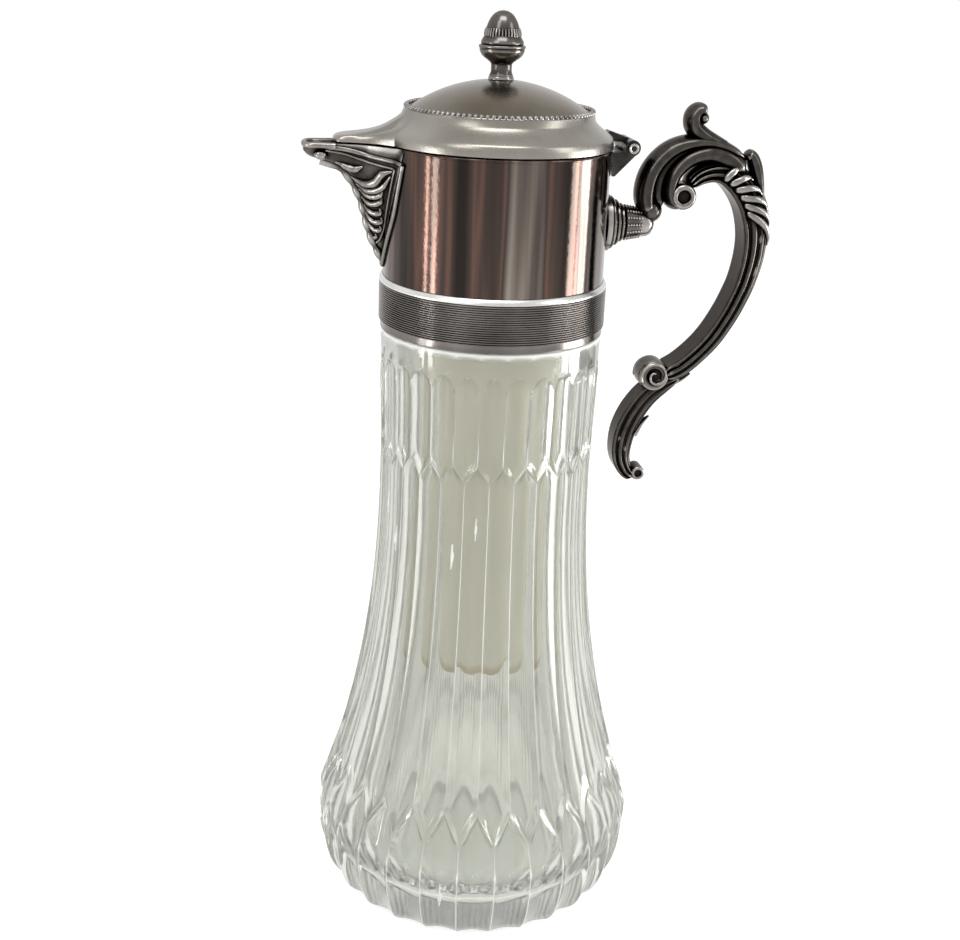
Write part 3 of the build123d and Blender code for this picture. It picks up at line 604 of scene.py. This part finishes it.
def build_spout_leaves():
    """Cast acanthus leaves in a raised double frame under the spout, and the roll round its lip."""
    pieces = []
    for side in (-1, 1):
        for k, (line, r) in enumerate(SPOUT_FRAME):
            pieces.append(spout_tube(f"frame_{k}_{side}", line, side, (r, r)))
        for k, (line, r) in enumerate(SPOUT_FRONDS):
            pieces.append(spout_tube(f"frond_{k}_{side}", line, side, (0.3, 0.8 * r, r, 0.9 * r, 0.35)))
    keel = [spout_surface(0.0, z) for z in np.linspace(230.5, 262.6, 34)]
    swell = [1.0 + 0.6 * abs(math.sin(k * 0.62)) for k in range(len(keel))]
    pieces.append(tube_along("keel", keel, swell, 12))
    for side in (-1, 1):
        boss = [(-58.6, side * 3.9, 264.9), (-56.6, side * 4.3, 264.6), (-54.4, side * 4.6, 264.4)]
        pieces.append(tube_along(f"boss_{side}", smooth_line(boss, 5), BOSS_RADII, 12))
    lip = [(-u, w, SPOUT_RIM_Z - 0.6) for u, w in LIP_ROLL]
    lip += [(x, -y, z) for x, y, z in lip[-2::-1]]
    lip = smooth_line(lip, 6)
    pieces.append(tube_along("lip_roll", lip, [0.95] * len(lip), 12, up=(0, 0, 1)))
    return join("spout_acanthus", pieces)


def scroll_frame(stations, steps=10):
    """Smooth centre line, outward normals and half thickness of a scroll."""
    fine = smooth_line(stations, steps)
    tangents = np.gradient(fine[:, :2], axis=0)
    tangents /= np.linalg.norm(tangents, axis=1)[:, None]
    normals = np.c_[-tangents[:, 1], tangents[:, 0]]
    return fine[:, :2], normals, fine[:, 2]


def boxy_oval(angle):
    """Rounded box of unit half sides. Angle 0 is the outer side of the scroll."""
    c, s = math.cos(angle), math.sin(angle)
    r = (abs(c) ** 2.7 + abs(s) ** 2.7) ** (-1 / 2.7)
    return r * c, r * s


def scroll_bar(name, stations, width, section):
    """A moulded bar with rounded ends along a scroll. The section goes from the inner to the outer side."""
    centre, normals, halves = scroll_frame(stations, 9)
    half = smooth_line(section, 3)
    ring = [(n, y) for n, y in half] + [(n, -y) for n, y in half[-2:0:-1]]
    points = []
    count = len(centre)
    for i in range(count):
        end = min(i, count - 1 - i)
        scale = math.sqrt(min(1.0, (end + 0.3) / 4.0))
        for n, y in ring:
            out = centre[i] + normals[i] * halves[i] * n * scale
            points.append((out[0], y * width / 2 * (0.5 + 0.5 * scale), out[1]))
    faces = grid_faces(count, len(ring))
    faces.append(tuple(range(len(ring))))
    faces.append(tuple((count - 1) * len(ring) + k for k in range(len(ring))))
    return add_mesh(name, points, faces, 60)


def volute(name, u, z, r, width, eye=True):
    """A rolled scroll end, with a raised edge and an eye on each side or with plain round ends."""
    h = width / 2
    if eye:
        half = [(r * out, h * up) for out, up in EYE_SECTION]
    else:
        half = [(r * math.sin(a), h * math.cos(a)) for a in np.linspace(0, math.pi / 2, 10)]
    profile = half + [(q, -y) for q, y in reversed(half)]
    return lathe(name, profile, 56, axis="Y", centre=(u, 0, z), crease=60)


def spiral(name, u, z, r, height, turns, start):
    """A raised spiral on each face of a scroll end, drawn in from the rim to the eye."""
    pieces = []
    for side in (-1, 1):
        line, radii = [], []
        for q in np.linspace(0, 1, 46):
            a = math.radians(start) - q * turns * 2 * math.pi
            reach = r * (1 - 0.8 * q)
            line.append((u + reach * math.cos(a), side * height, z + reach * math.sin(a)))
            radii.append(0.75 * (1 - 0.45 * q))
        pieces.append(tube_along(f"{name}_{side}", line, radii, 10))
    return pieces


grip_line = scroll_frame(GRIP)


def grip_surface(share, turn):
    """Place just under the outside of the grip: share along it, turn round it in degrees."""
    centre, normals, halves = grip_line
    place = share * (len(centre) - 1)
    i = min(int(place), len(centre) - 2)
    f = place - i
    c = centre[i] * (1 - f) + centre[i + 1] * f
    n = normals[i] * (1 - f) + normals[i + 1] * f
    h = halves[i] * (1 - f) + halves[i + 1] * f
    out, y = boxy_oval(math.radians(turn))
    p = c + n * h * out * LEAF_SEAT
    return np.array((p[0], y * GRIP_WIDTH / 2 * LEAF_SEAT, p[1]))


def build_acanthus():
    """Leaf on the shoulder of the grip: curled lobes on each side that sweep back to its outer edge."""
    pieces = []
    for side in (-1, 1):
        for k in range(LOBES):
            start = LEAF_START + 0.033 * k
            sweep = 0.035 + 0.017 * k
            line, radii = [], []
            for q in np.linspace(0, 1, 18):
                turn = 122 - 84 * q + 8 * math.sin(2 * math.pi * q)
                line.append(grip_surface(start + sweep * q**1.4, side * turn))
                radii.append(0.35 + 1.05 * math.sin(math.pi * min(1, (q + 0.05) ** 0.8)) ** 0.8)
            pieces.append(tube_along(f"lobe_{k}_{side}", line, radii, 12))
    spine = [grip_surface(s, 0) for s in np.linspace(LEAF_START, LEAF_END, 24)]
    swell = [math.sin(math.pi * (0.12 + 0.8 * q)) for q in np.linspace(0, 1, 24)]
    pieces.append(tube_along("spine", spine, swell, 12))
    return pieces


def build_handle():
    """Cast scroll handle: moulded grip, roll, fillet, volutes, curls, acanthus leaf and tail."""
    pieces = [
        scroll_bar("grip", GRIP, GRIP_WIDTH, GRIP_SECTION),
        scroll_bar("roll", ROLL, ROLL_WIDTH, ROLL_SECTION),
        scroll_bar("fillet", FILLET, FILLET_WIDTH, ROLL_SECTION),
        scroll_bar("core", CORE, CORE_WIDTH, ROLL_SECTION),
        scroll_bar("tail", TAIL, TAIL_WIDTH, GRIP_SECTION),
        scroll_bar("curl", CURL, CURL_WIDTH, ROLL_SECTION),
        scroll_bar("second_leaf", SECOND_LEAF, SECOND_LEAF_WIDTH, ROLL_SECTION),
    ]
    pieces += [volute(*place) for place in VOLUTES] + [volute(*place, eye=False) for place in KNOBS]
    for name, line in LEAF_TIPS:
        points = [(u, 0.0, z) for u, z in smooth_line(line, 7)]
        pieces.append(tube_along(name, points, np.linspace(3.2, 0.6, len(points)), 14, flat=0.5))
    pieces += spiral("lower_spiral", 57.0, 192.2, 5.2, 4.7, 1.3, 200)
    pieces += build_acanthus()
    cheek = [(0.0, 49.05), (4.6, 49.05), (4.5, 50.4), (3.9, 51.6), (2.4, 52.6), (0.0, 53.0)]
    pieces.append(lathe("cheek", cheek, 48, axis="X", centre=(0, 0, SOCKET_Z), crease=60))
    return join("handle_scroll", pieces)


def build_socket():
    """Ribbed socket with a beaded cone."""
    base = COLLAR_R + 0.05
    profile = [(0.0, base - 0.6), (SOCKET_R, base - 0.6), (SOCKET_R, base + 1.0)]
    r = SOCKET_R
    for k in range(3):
        start = base + 1.2 + 1.7 * k
        for share, lift in ((0.0, -0.9), (0.2, -0.25), (0.5, 0.0), (0.8, -0.3), (1.0, -1.1)):
            profile.append((r - 0.4 + lift - 0.4 * share, start + 1.6 * share))
        r -= 1.17
    profile += [(5.6, base + 6.6), (5.2, base + 8.5), (4.9, base + 10.5)]
    profile += [(4.6, SOCKET_END), (0.0, SOCKET_END)]
    pieces = [lathe("socket_body", profile, 96, axis="X", centre=(0, 0, SOCKET_Z))]
    ball = ball_profile(SOCKET_BEAD_R, 30)
    for row in range(SOCKET_BEAD_ROWS):
        angle = math.radians(360 / SOCKET_BEAD_ROWS * row)
        for step in range(6):
            along = base + 6.9 + 0.95 * step
            radius = 5.6 - 0.16 * (step + 0.5)
            place = (along, radius * math.cos(angle), SOCKET_Z + radius * math.sin(angle))
            pieces.append(lathe(f"bead_{row}_{step}", ball, 8, centre=place))
    return join("socket_ribbed", pieces)


def beak_turns():
    """Directions and radii of the beak's edge, from its tip round to the lid's edge."""
    table = smooth_line(BEAK, 10)[::-1]
    return np.degrees(np.arctan2(table[:, 1], table[:, 0])), np.hypot(table[:, 0], table[:, 1])


beak_line = beak_turns()


def lid_reach(angle):
    """Radius of the lid's edge in a direction, longer along the beak."""
    off = abs((math.degrees(angle) + 360) % 360 - 180)
    turns, reach = beak_line
    if off < turns[0]:
        return BEAK[-1][0] / math.cos(math.radians(off))
    return max(LID_R, float(np.interp(off, turns, reach)))


def crown_z(r):
    """Height of the domed crown at a radius."""
    rise = LID_TOP_Z - LID_STEP_Z
    ball = (LID_CROWN_R**2 + rise**2) / (2 * rise)
    return LID_TOP_Z - ball + math.sqrt(ball**2 - r**2)


def build_lid():
    """Lid with a domed crown, a step, a cavetto flange and a beak, one millimetre thick."""
    fall = LID_STEP_Z - LID_Z
    shares = np.r_[np.linspace(0, 0.88, 22), 0.91, 0.94, 0.96, 0.98, 0.99, 1.0]
    angles = list(np.linspace(-math.pi * 0.8, math.pi * 0.8, 200, endpoint=False))
    angles += list(np.linspace(math.pi * 0.8, math.pi * 1.2, 180, endpoint=False))
    angles = sorted(a % (2 * math.pi) for a in angles)
    count = len(angles)
    reach = [lid_reach(a) for a in angles]
    fine_flange, fine_beak = smooth_line(FLANGE_FALL), smooth_line(BEAK_FALL)

    def skin(offset):
        rows = []
        for r in np.linspace(0, LID_CROWN_R, 24):
            inward = r - offset * r / LID_CROWN_R * 0.3
            rows.append([(inward * math.cos(a), inward * math.sin(a), crown_z(r) - offset) for a in angles])
        for q in shares:
            row = []
            for a, limit in zip(angles, reach):
                weight = ease((limit - LID_R) / (BEAK[-1][0] - LID_R) * 1.6)
                drop = (1 - weight) * np.interp(q, fine_flange[:, 0], fine_flange[:, 1])
                drop += weight * np.interp(q, fine_beak[:, 0], fine_beak[:, 1])
                r = LID_STEP_R + (limit - LID_STEP_R) * q - offset * 0.9
                z = max(LID_STEP_Z - fall * drop - offset * 0.8, LID_Z + 0.15 if offset else LID_Z)
                row.append((r * math.cos(a), r * math.sin(a), z))
            rows.append(row)
        rows.append([((limit - offset * 0.9) * math.cos(a), (limit - offset * 0.9) * math.sin(a), LID_Z)
                     for a, limit in zip(angles, reach)])
        return rows

    rows = skin(0.0) + skin(LID_WALL)[::-1]
    points = [p for row in rows for p in row]
    return add_mesh("lid_spun", points, grid_faces(len(rows), count), 30)


def build_beads():
    """Ring of beads on the step of the lid."""
    ball = ball_profile(BEAD_R, 20)
    pieces = []
    for k in range(BEADS):
        a = 2 * math.pi * k / BEADS
        place = (BEAD_RING_R * math.cos(a), BEAD_RING_R * math.sin(a), LID_STEP_Z + 0.6)
        pieces.append(lathe(f"bead_{k}", ball, 14, centre=place))
    turns = [math.radians(a) for a in range(0, 360, 30)]
    wire = [(BEAD_RING_R + 0.7 * math.cos(a), LID_STEP_Z + 0.1 + 0.4 * math.sin(a)) for a in turns]
    pieces.append(lathe("wire", wire, 184))
    return join("lid_beads", pieces)


def build_pin_rings():
    """Rings round the two ends of the hinge pin."""
    (u_low, y_low, z_low), (u_high, y_high, z_high) = node_box("hinge_pin")
    r = (z_high - z_low) / 2
    u, z = (u_low + u_high) / 2, (z_low + z_high) / 2
    section = ((0.5, 0.0), (0.52, 0.35), (0.75, 0.55), (0.96, 0.4), (1.0, 0.0))
    pieces = []
    for name, y, out in (("near", y_low, -1), ("far", y_high, 1)):
        profile = [(r * share, out * rise) for share, rise in section]
        pieces.append(lathe(f"ring_{name}", profile, 40, axis="Y", centre=(u, y, z)))
    return join("hinge_pin_rings", pieces)


def build_stem():
    """Plain stem with the flared cup of the acorn."""
    low = stem_low[2]
    line = [(r, low + up) for r, up in STEM_SECTION]
    fine = [tuple(p) for p in smooth_line(line, 4)]
    return lathe("finial_cup", [(0.0, low)] + fine + [(0.0, line[-1][1])], 96)


def build_acorn():
    """Acorn with a smooth shoulder, a toothed ring and an egg-shaped crown."""
    low = stem_high[2] + 0.05
    top = acorn_high[2]
    line = [(r, low + up) for r, up in ACORN_SECTION] + [(1.5, top - 0.3)]
    fine = [tuple(p) for p in smooth_line(line, 5)]
    pieces = [lathe("acorn_body", [(0.0, low)] + fine + [(0.0, top)], 96)]
    for k in range(ACORN_TEETH):
        a = 2 * math.pi * k / ACORN_TEETH
        line = [(r * math.cos(a), r * math.sin(a), low + up) for r, up in TOOTH_LINE]
        pieces.append(tube_along(f"tooth_{k}", line, (0.24, 0.34, 0.2), 6, up=(math.cos(a), math.sin(a), 0)))
    return join("finial_acorn_top", pieces)


def build_washer():
    """Small round foot of the finial."""
    low, high = washer_low[2], washer_high[2]
    profile = [(0.0, low), (4.1, low), (4.1, low + 0.3), (3.95, high - 0.1), (3.7, high), (0.0, high)]
    return lathe("finial_foot", profile, 64)


def new_material(name):
    """A node material and its principled shader."""
    material = bpy.data.materials.new(name)
    material.use_nodes = True
    shader = material.node_tree.nodes["Principled BSDF"]
    return material, material.node_tree, shader


def object_noise(tree, scale, detail=4.0, stretch=(1, 1, 1)):
    """Noise in object space."""
    coordinates = tree.nodes.new("ShaderNodeTexCoord")
    mapping = tree.nodes.new("ShaderNodeMapping")
    mapping.inputs["Scale"].default_value = stretch
    noise = tree.nodes.new("ShaderNodeTexNoise")
    noise.inputs["Scale"].default_value = scale
    noise.inputs["Detail"].default_value = detail
    tree.links.new(coordinates.outputs["Object"], mapping.inputs["Vector"])
    tree.links.new(mapping.outputs["Vector"], noise.inputs["Vector"])
    return noise.outputs["Fac"]


def ramp(tree, value, stops):
    """A colour ramp over a value, from (place, colour) stops."""
    node = tree.nodes.new("ShaderNodeValToRGB")
    while len(node.color_ramp.elements) < len(stops):
        node.color_ramp.elements.new(0.5)
    for element, (place, colour) in zip(node.color_ramp.elements, stops):
        element.position = place
        element.color = (*colour, 1)
    tree.links.new(value, node.inputs["Fac"])
    return node.outputs["Color"]


def drift(dark, light):
    """Stops for a tone that drifts between two colours."""
    return ((0.3, dark), (0.7, light))


def scalar(tree, value, low, high, start=0.0, end=1.0):
    """A value between low and high from a value between start and end."""
    node = tree.nodes.new("ShaderNodeMapRange")
    node.inputs["From Min"].default_value = start
    node.inputs["From Max"].default_value = end
    node.inputs["To Min"].default_value = low
    node.inputs["To Max"].default_value = high
    tree.links.new(value, node.inputs["Value"])
    return node.outputs["Result"]


def combine(tree, operation, *values):
    """A math node over linked values and plain numbers."""
    node = tree.nodes.new("ShaderNodeMath")
    node.operation = operation
    for place, value in zip(node.inputs, values):
        if isinstance(value, float):
            place.default_value = value
        else:
            tree.links.new(value, place)
    return node.outputs[0]


def blend(tree, share, first, second):
    """A tone between a linked colour and a plain one."""
    node = tree.nodes.new("ShaderNodeMix")
    node.data_type = "RGBA"
    tree.links.new(share, node.inputs["Factor"])
    tree.links.new(first, node.inputs["A"])
    node.inputs["B"].default_value = (*second, 1)
    return node.outputs["Result"]


def link_surface(tree, shader, colour, roughness, relief, depth=0.00002):
    """Colour, roughness and fine relief of a surface, the relief's depth in metres."""
    tree.links.new(colour, shader.inputs["Base Color"])
    tree.links.new(roughness, shader.inputs["Roughness"])
    node = tree.nodes.new("ShaderNodeBump")
    node.inputs["Distance"].default_value = depth
    tree.links.new(relief, node.inputs["Height"])
    tree.links.new(node.outputs["Normal"], shader.inputs["Normal"])


def plated_metal(name, stops, roughness, scale, stretch=(1, 1, 1), detail=5.0):
    """Silver plate whose tone drifts over its surface, with fine wear."""
    material, tree, shader = new_material(name)
    shader.inputs["Metallic"].default_value = 1.0
    tone = object_noise(tree, scale, detail, stretch)
    wear = object_noise(tree, 900.0, 6.0)
    link_surface(tree, shader, ramp(tree, tone, stops), scalar(tree, wear, *roughness), wear)
    return material


def oxidised_metal(name, flat_colour, ridge_colour):
    """Cast plate, worn bright on its ridges and black in its recesses."""
    material, tree, shader = new_material(name)
    shader.inputs["Metallic"].default_value = 1.0
    shader.inputs["Specular Tint"].default_value = (0.74, 0.72, 0.7, 1)
    occlusion = tree.nodes.new("ShaderNodeAmbientOcclusion")
    occlusion.inputs["Distance"].default_value = 0.002
    occlusion.samples = 8
    point = tree.nodes.new("ShaderNodeNewGeometry").outputs["Pointiness"]
    edges = scalar(tree, point, 0.0, 0.35, 0.5, 0.56)
    open_share = scalar(tree, occlusion.outputs["AO"], 0.0, 0.55)
    noise = object_noise(tree, 350.0, 5.0)
    worn = combine(tree, "MULTIPLY_ADD", noise, 0.16, combine(tree, "ADD", open_share, edges))
    stops = ((0.34, (0.003, 0.0026, 0.0023)), (0.54, (0.012, 0.0105, 0.009)),
             (0.65, flat_colour), (0.78, ridge_colour), (0.97, (0.34, 0.32, 0.3)))
    link_surface(tree, shader, ramp(tree, worn, stops), scalar(tree, noise, 0.13, 0.27), noise)
    return material


def glass_material(name, transmission, roughness, tints, rib_highlight_share=0.0):
    """Pressed glass with a faint green tint, slight waviness, a little haze, painted shade at glancing angles
    and, where given a share, ribs painted pale as a highlight.
    """
    material, tree, shader = new_material(name)
    shader.inputs["IOR"].default_value = 1.48
    body = ramp(tree, object_noise(tree, 30.0, 2.0), drift(*tints))
    # Darker towards a glancing view, along the edges and rib flanks: painted shade
    slant_shade = tree.nodes.new("ShaderNodeLayerWeight")
    slant_shade.inputs["Blend"].default_value = 0.35
    body = blend(tree, slant_shade.outputs["Facing"], body, (0.14, 0.155, 0.12))
    if rib_highlight_share:
        # Ribs painted pale and less clear: a painted highlight along them
        point = tree.nodes.new("ShaderNodeNewGeometry").outputs["Pointiness"]
        ribs = scalar(tree, point, 0.0, 1.0, 0.508, 0.54)
        body = blend(tree, ribs, body, (0.93, 0.94, 0.9))
        clear = scalar(tree, ribs, transmission, transmission - rib_highlight_share)
        tree.links.new(clear, shader.inputs["Transmission Weight"])
    else:
        shader.inputs["Transmission Weight"].default_value = transmission
    haze = scalar(tree, object_noise(tree, 200.0), *roughness)
    link_surface(tree, shader, body, haze, object_noise(tree, 45.0, 1.0), 0.0001)
    return material


def plastic_material(name, stops, roughness=(0.35, 0.5)):
    """Smooth moulded plastic."""
    material, tree, shader = new_material(name)
    tone = ramp(tree, object_noise(tree, 60.0, 3.0), stops)
    haze = scalar(tree, object_noise(tree, 400.0), *roughness)
    link_surface(tree, shader, tone, haze, object_noise(tree, 500.0))
    return material


def tube_material():
    """Cream plastic that turns tan at the foot of the tube."""
    material, tree, shader = new_material("ice_tube_cream")
    coordinates = tree.nodes.new("ShaderNodeTexCoord")
    split = tree.nodes.new("ShaderNodeSeparateXYZ")
    tree.links.new(coordinates.outputs["Object"], split.inputs["Vector"])
    low = tube_low[2] * MM
    height = scalar(tree, split.outputs["Z"], 0.0, 1.0, low, low + 0.006)
    stops = ((0.0, (0.5, 0.36, 0.14)), (0.6, (0.62, 0.5, 0.26)), (1.0, (0.86, 0.82, 0.68)))
    tree.links.new(ramp(tree, height, stops), shader.inputs["Base Color"])
    tree.links.new(scalar(tree, object_noise(tree, 300.0), 0.35, 0.5), shader.inputs["Roughness"])
    return material


# Toning of the polished collar, from its darkest streaks to its brightest: partly tarnish, partly painted
# reflections in vertical streaks
TARNISH_AND_PAINTED_REFLECTIONS = (
    (0.30, (0.025, 0.02, 0.018)), (0.42, (0.06, 0.045, 0.038)), (0.48, (0.12, 0.07, 0.056)),
    (0.54, (0.05, 0.042, 0.04)), (0.62, (0.15, 0.125, 0.105)), (0.72, (0.3, 0.27, 0.24)),
)


def dress(obj, body, slot, material, *nodes):
    """Gives a piece its material and its body, and hides the nodes that it stands for. The slot is not used.
    """
    obj.data.materials.clear()
    obj.data.materials.append(material)
    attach(obj, body)
    if nodes:
        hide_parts(*nodes)
    return obj


def recolour(node, material):
    """A better material on a CAD node that stays."""
    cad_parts[node].data.materials.clear()
    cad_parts[node].data.materials.append(material)


def build_object():
    """Every piece of the carafe, with its material and its body."""
    # The collar's vertical streaks are partly tarnish and partly painted reflections
    polished = plated_metal("plate_polished", TARNISH_AND_PAINTED_REFLECTIONS, (0.05, 0.14), 95.0, (1, 1, 0.035), detail=3.0)
    reeded = plated_metal("plate_reeded", drift((0.11, 0.1, 0.092), (0.25, 0.23, 0.215)), (0.14, 0.24), 40.0)
    # Bright plate for the band's bevel: a painted highlight
    edge_highlight = plated_metal("plate_worn_edge", drift((0.5, 0.5, 0.48), (0.75, 0.75, 0.73)), (0.2, 0.3), 60.0)
    # Lighter plate for the lid's beads and the finial's foot: a painted highlight
    bead_and_foot_highlight = plated_metal("plate_bead", drift((0.12, 0.11, 0.1), (0.34, 0.32, 0.3)), (0.12, 0.24), 90.0)
    dark = plated_metal("plate_dark", drift((0.015, 0.013, 0.012), (0.07, 0.062, 0.055)), (0.18, 0.34), 120.0)
    satin = plated_metal("plate_satin", drift((0.12, 0.1, 0.075), (0.21, 0.185, 0.15)), (0.2, 0.32), 30.0)
    # Lighter tones for the lid's flange: a painted highlight
    flange_highlight_tones = drift((0.2, 0.185, 0.16), (0.35, 0.33, 0.3))
    satin_flange_highlight = plated_metal("plate_satin_worn", flange_highlight_tones, (0.22, 0.34), 30.0)
    oxidised = oxidised_metal("plate_oxidised", (0.06, 0.053, 0.047), (0.12, 0.11, 0.1))
    blackened = oxidised_metal("plate_blackened", (0.022, 0.019, 0.017), (0.085, 0.077, 0.07))
    finial = oxidised_metal("plate_finial", (0.1, 0.092, 0.085), (0.2, 0.19, 0.18))
    brass = plated_metal("brass_turned", drift((0.5, 0.38, 0.18), (0.7, 0.55, 0.3)), (0.2, 0.35), 80.0)
    cream = plastic_material("plastic_cream", drift((0.8, 0.75, 0.6), (0.86, 0.82, 0.7)))
    seal = plastic_material("seal_pale", drift((0.6, 0.57, 0.5), (0.7, 0.67, 0.6)), (0.6, 0.75))
    tints = ((0.78, 0.785, 0.73), (0.84, 0.845, 0.79))
    outside = glass_material("pressed_glass_outside", 0.86, (0.02, 0.06), tints, 0.78)
    flask = dress(build_flask(), "flask", "pressed_glass", outside, "glass_flask")
    flask.data.materials.append(glass_material("pressed_glass_inside", 0.92, (0.11, 0.18), tints))
    # Paler tint under the foot: painted light that lifts the shade where the foot meets the floor
    foot_lifted_tints = ((0.84, 0.9, 0.8), (0.95, 0.97, 0.92))
    flask.data.materials.append(glass_material("pressed_glass_foot", 0.93, (0.1, 0.25), foot_lifted_tints))
    for polygon in flask.data.polygons:
        polygon.material_index = glass_slot(polygon)
    dress(build_tube(), "insert", "cream_plastic", tube_material(), "ice_tube")
    dress(build_band(), "head", "polished_plate", reeded, "reeded_band")
    dress(build_band_edge(), "head", "polished_plate", edge_highlight)
    dress(build_collar(), "head", "polished_plate", polished, "collar_shell")
    dress(build_spout(), "head", "oxidised_plate", oxidised, "pour_spout")
    dress(build_spout_leaves(), "head", "oxidised_plate", oxidised)
    dress(build_handle(), "head", "oxidised_plate", blackened, "handle")
    dress(build_socket(), "head", "oxidised_plate", oxidised, "handle_socket")
    lid = dress(build_lid(), "lid", "satin_plate", satin, "lid_shell")
    # The flange outside the step takes the lighter plate, a painted highlight
    lid.data.materials.append(satin_flange_highlight)
    for polygon in lid.data.polygons:
        x, y, z = polygon.center / MM
        polygon.material_index = 1 if math.hypot(x, y) > LID_STEP_R else 0
    dress(build_pin_rings(), "head", "oxidised_plate", oxidised)
    dress(build_beads(), "lid", "satin_plate", bead_and_foot_highlight, "bead_ring")
    dress(build_stem(), "lid", "satin_plate", finial, "finial_stem")
    dress(build_acorn(), "lid", "satin_plate", finial, "finial_acorn")
    dress(build_washer(), "lid", "satin_plate", bead_and_foot_highlight, "finial_washer")
    recolour("hanger_ring", cream)
    recolour("neck_gasket", seal)
    for node in ("threaded_ring", "handle_stud", "finial_nut"):
        recolour(node, brass)
    for node in ("hinge_bracket", "hinge_pin", "lid_leaf"):
        recolour(node, dark)
    recolour("collar_shelf", satin)


def shown_rays(tree):
    """1 for the rays that show the background: camera, glossy and transmission rays."""
    path = tree.nodes.new("ShaderNodeLightPath")
    shown = combine(tree, "MAXIMUM", path.outputs["Is Camera Ray"], path.outputs["Is Glossy Ray"])
    return combine(tree, "MAXIMUM", shown, path.outputs["Is Transmission Ray"])


def build_floor():
    """Plain white floor that keeps the object's shadow."""
    mesh = bpy.data.meshes.new("floor")
    corners = ((-1, -1), (1, -1), (1, 1), (-1, 1))
    mesh.from_pydata([(FLOOR_REACH * x, FLOOR_REACH * y, 0) for x, y in corners], [], [(0, 1, 2, 3)])
    floor = bpy.data.objects.new("floor", mesh)
    scene.collection.objects.link(floor)
    material, tree, shader = new_material("floor_white")
    shader.inputs["Base Color"].default_value = (0.5, 0.5, 0.5, 1)
    shader.inputs["Roughness"].default_value = 0.9
    shader.inputs["Emission Color"].default_value = (1, 1, 1, 1)
    tree.links.new(scalar(tree, shown_rays(tree), 0.0, 0.76), shader.inputs["Emission Strength"])
    mesh.materials.append(material)


def area_light(name, azimuth, distance, height, size, power):
    """A soft rectangular lamp that faces the carafe from an azimuth, counted from the handle."""
    lamp = bpy.data.lights.new(name, "AREA")
    lamp.shape = "RECTANGLE"
    lamp.size, lamp.size_y = size
    lamp.energy = power
    obj = bpy.data.objects.new(name, lamp)
    turn = math.radians(azimuth)
    place = Vector((distance * math.cos(turn), distance * math.sin(turn), height))
    aim = Vector((0, 0, min(height, AIM_Z)))
    obj.location = place
    obj.rotation_euler = (aim - place).to_track_quat("-Z", "Y").to_euler()
    obj.visible_camera = False
    scene.collection.objects.link(obj)


def build_light():
    """Soft studio light and a white surround."""
    world = bpy.data.worlds.new("surround")
    world.use_nodes = True
    tree = world.node_tree
    background = tree.nodes["Background"]
    background.inputs["Color"].default_value = (1, 1, 1, 1)
    tree.links.new(scalar(tree, shown_rays(tree), 0.45, 1.0), background.inputs["Strength"])
    scene.world = world
    area_light("key", 225, 1.2, 1.1, (0.5, 0.9), 5)
    area_light("fill", 331, 1.2, 0.7, (0.4, 0.8), 3)
    area_light("front_top", 258, 0.5, 1.45, (0.9, 0.5), 8)
    low_lamps = (("window_near", 344, 0.09, 0.9), ("window_far", 358, 0.17, 1.6),
                 ("strip_190", 190, 0.03, 0.27), ("strip_199", 199, 0.06, 0.54))
    for name, azimuth, width, power in low_lamps:
        area_light(name, azimuth, LOW_DISTANCE, LOW_HEIGHT, (width, LOW_TALL), power)


def build_camera():
    """Camera at the photograph's viewing angle."""
    turn, pitch, roll = (math.radians(a) for a in (VIEW_TURN, CAMERA_PITCH, CAMERA_ROLL))
    place = Vector((CAMERA_SIDE * math.cos(turn) - CAMERA_DISTANCE * math.sin(turn),
                    -CAMERA_DISTANCE * math.cos(turn) - CAMERA_SIDE * math.sin(turn), CAMERA_HEIGHT)) * MM
    right = Vector((math.cos(turn), -math.sin(turn), 0))
    ahead = Vector((math.sin(turn) * math.cos(pitch), math.cos(turn) * math.cos(pitch), -math.sin(pitch)))
    up = right.cross(ahead)
    right, up = right * math.cos(roll) + up * math.sin(roll), up * math.cos(roll) - right * math.sin(roll)
    data = bpy.data.cameras.new("camera")
    data.sensor_fit = "HORIZONTAL"
    data.sensor_width = 36.0
    data.lens = 36.0 * FOCAL_SHARE
    camera = bpy.data.objects.new("camera", data)
    matrix = Matrix((right, up, -ahead)).transposed().to_4x4()
    matrix.translation = place
    camera.matrix_world = matrix
    scene.collection.objects.link(camera)
    scene.camera = camera


build_camera()
build_object()
build_floor()
build_light()
scene.view_settings.view_transform = "Standard"
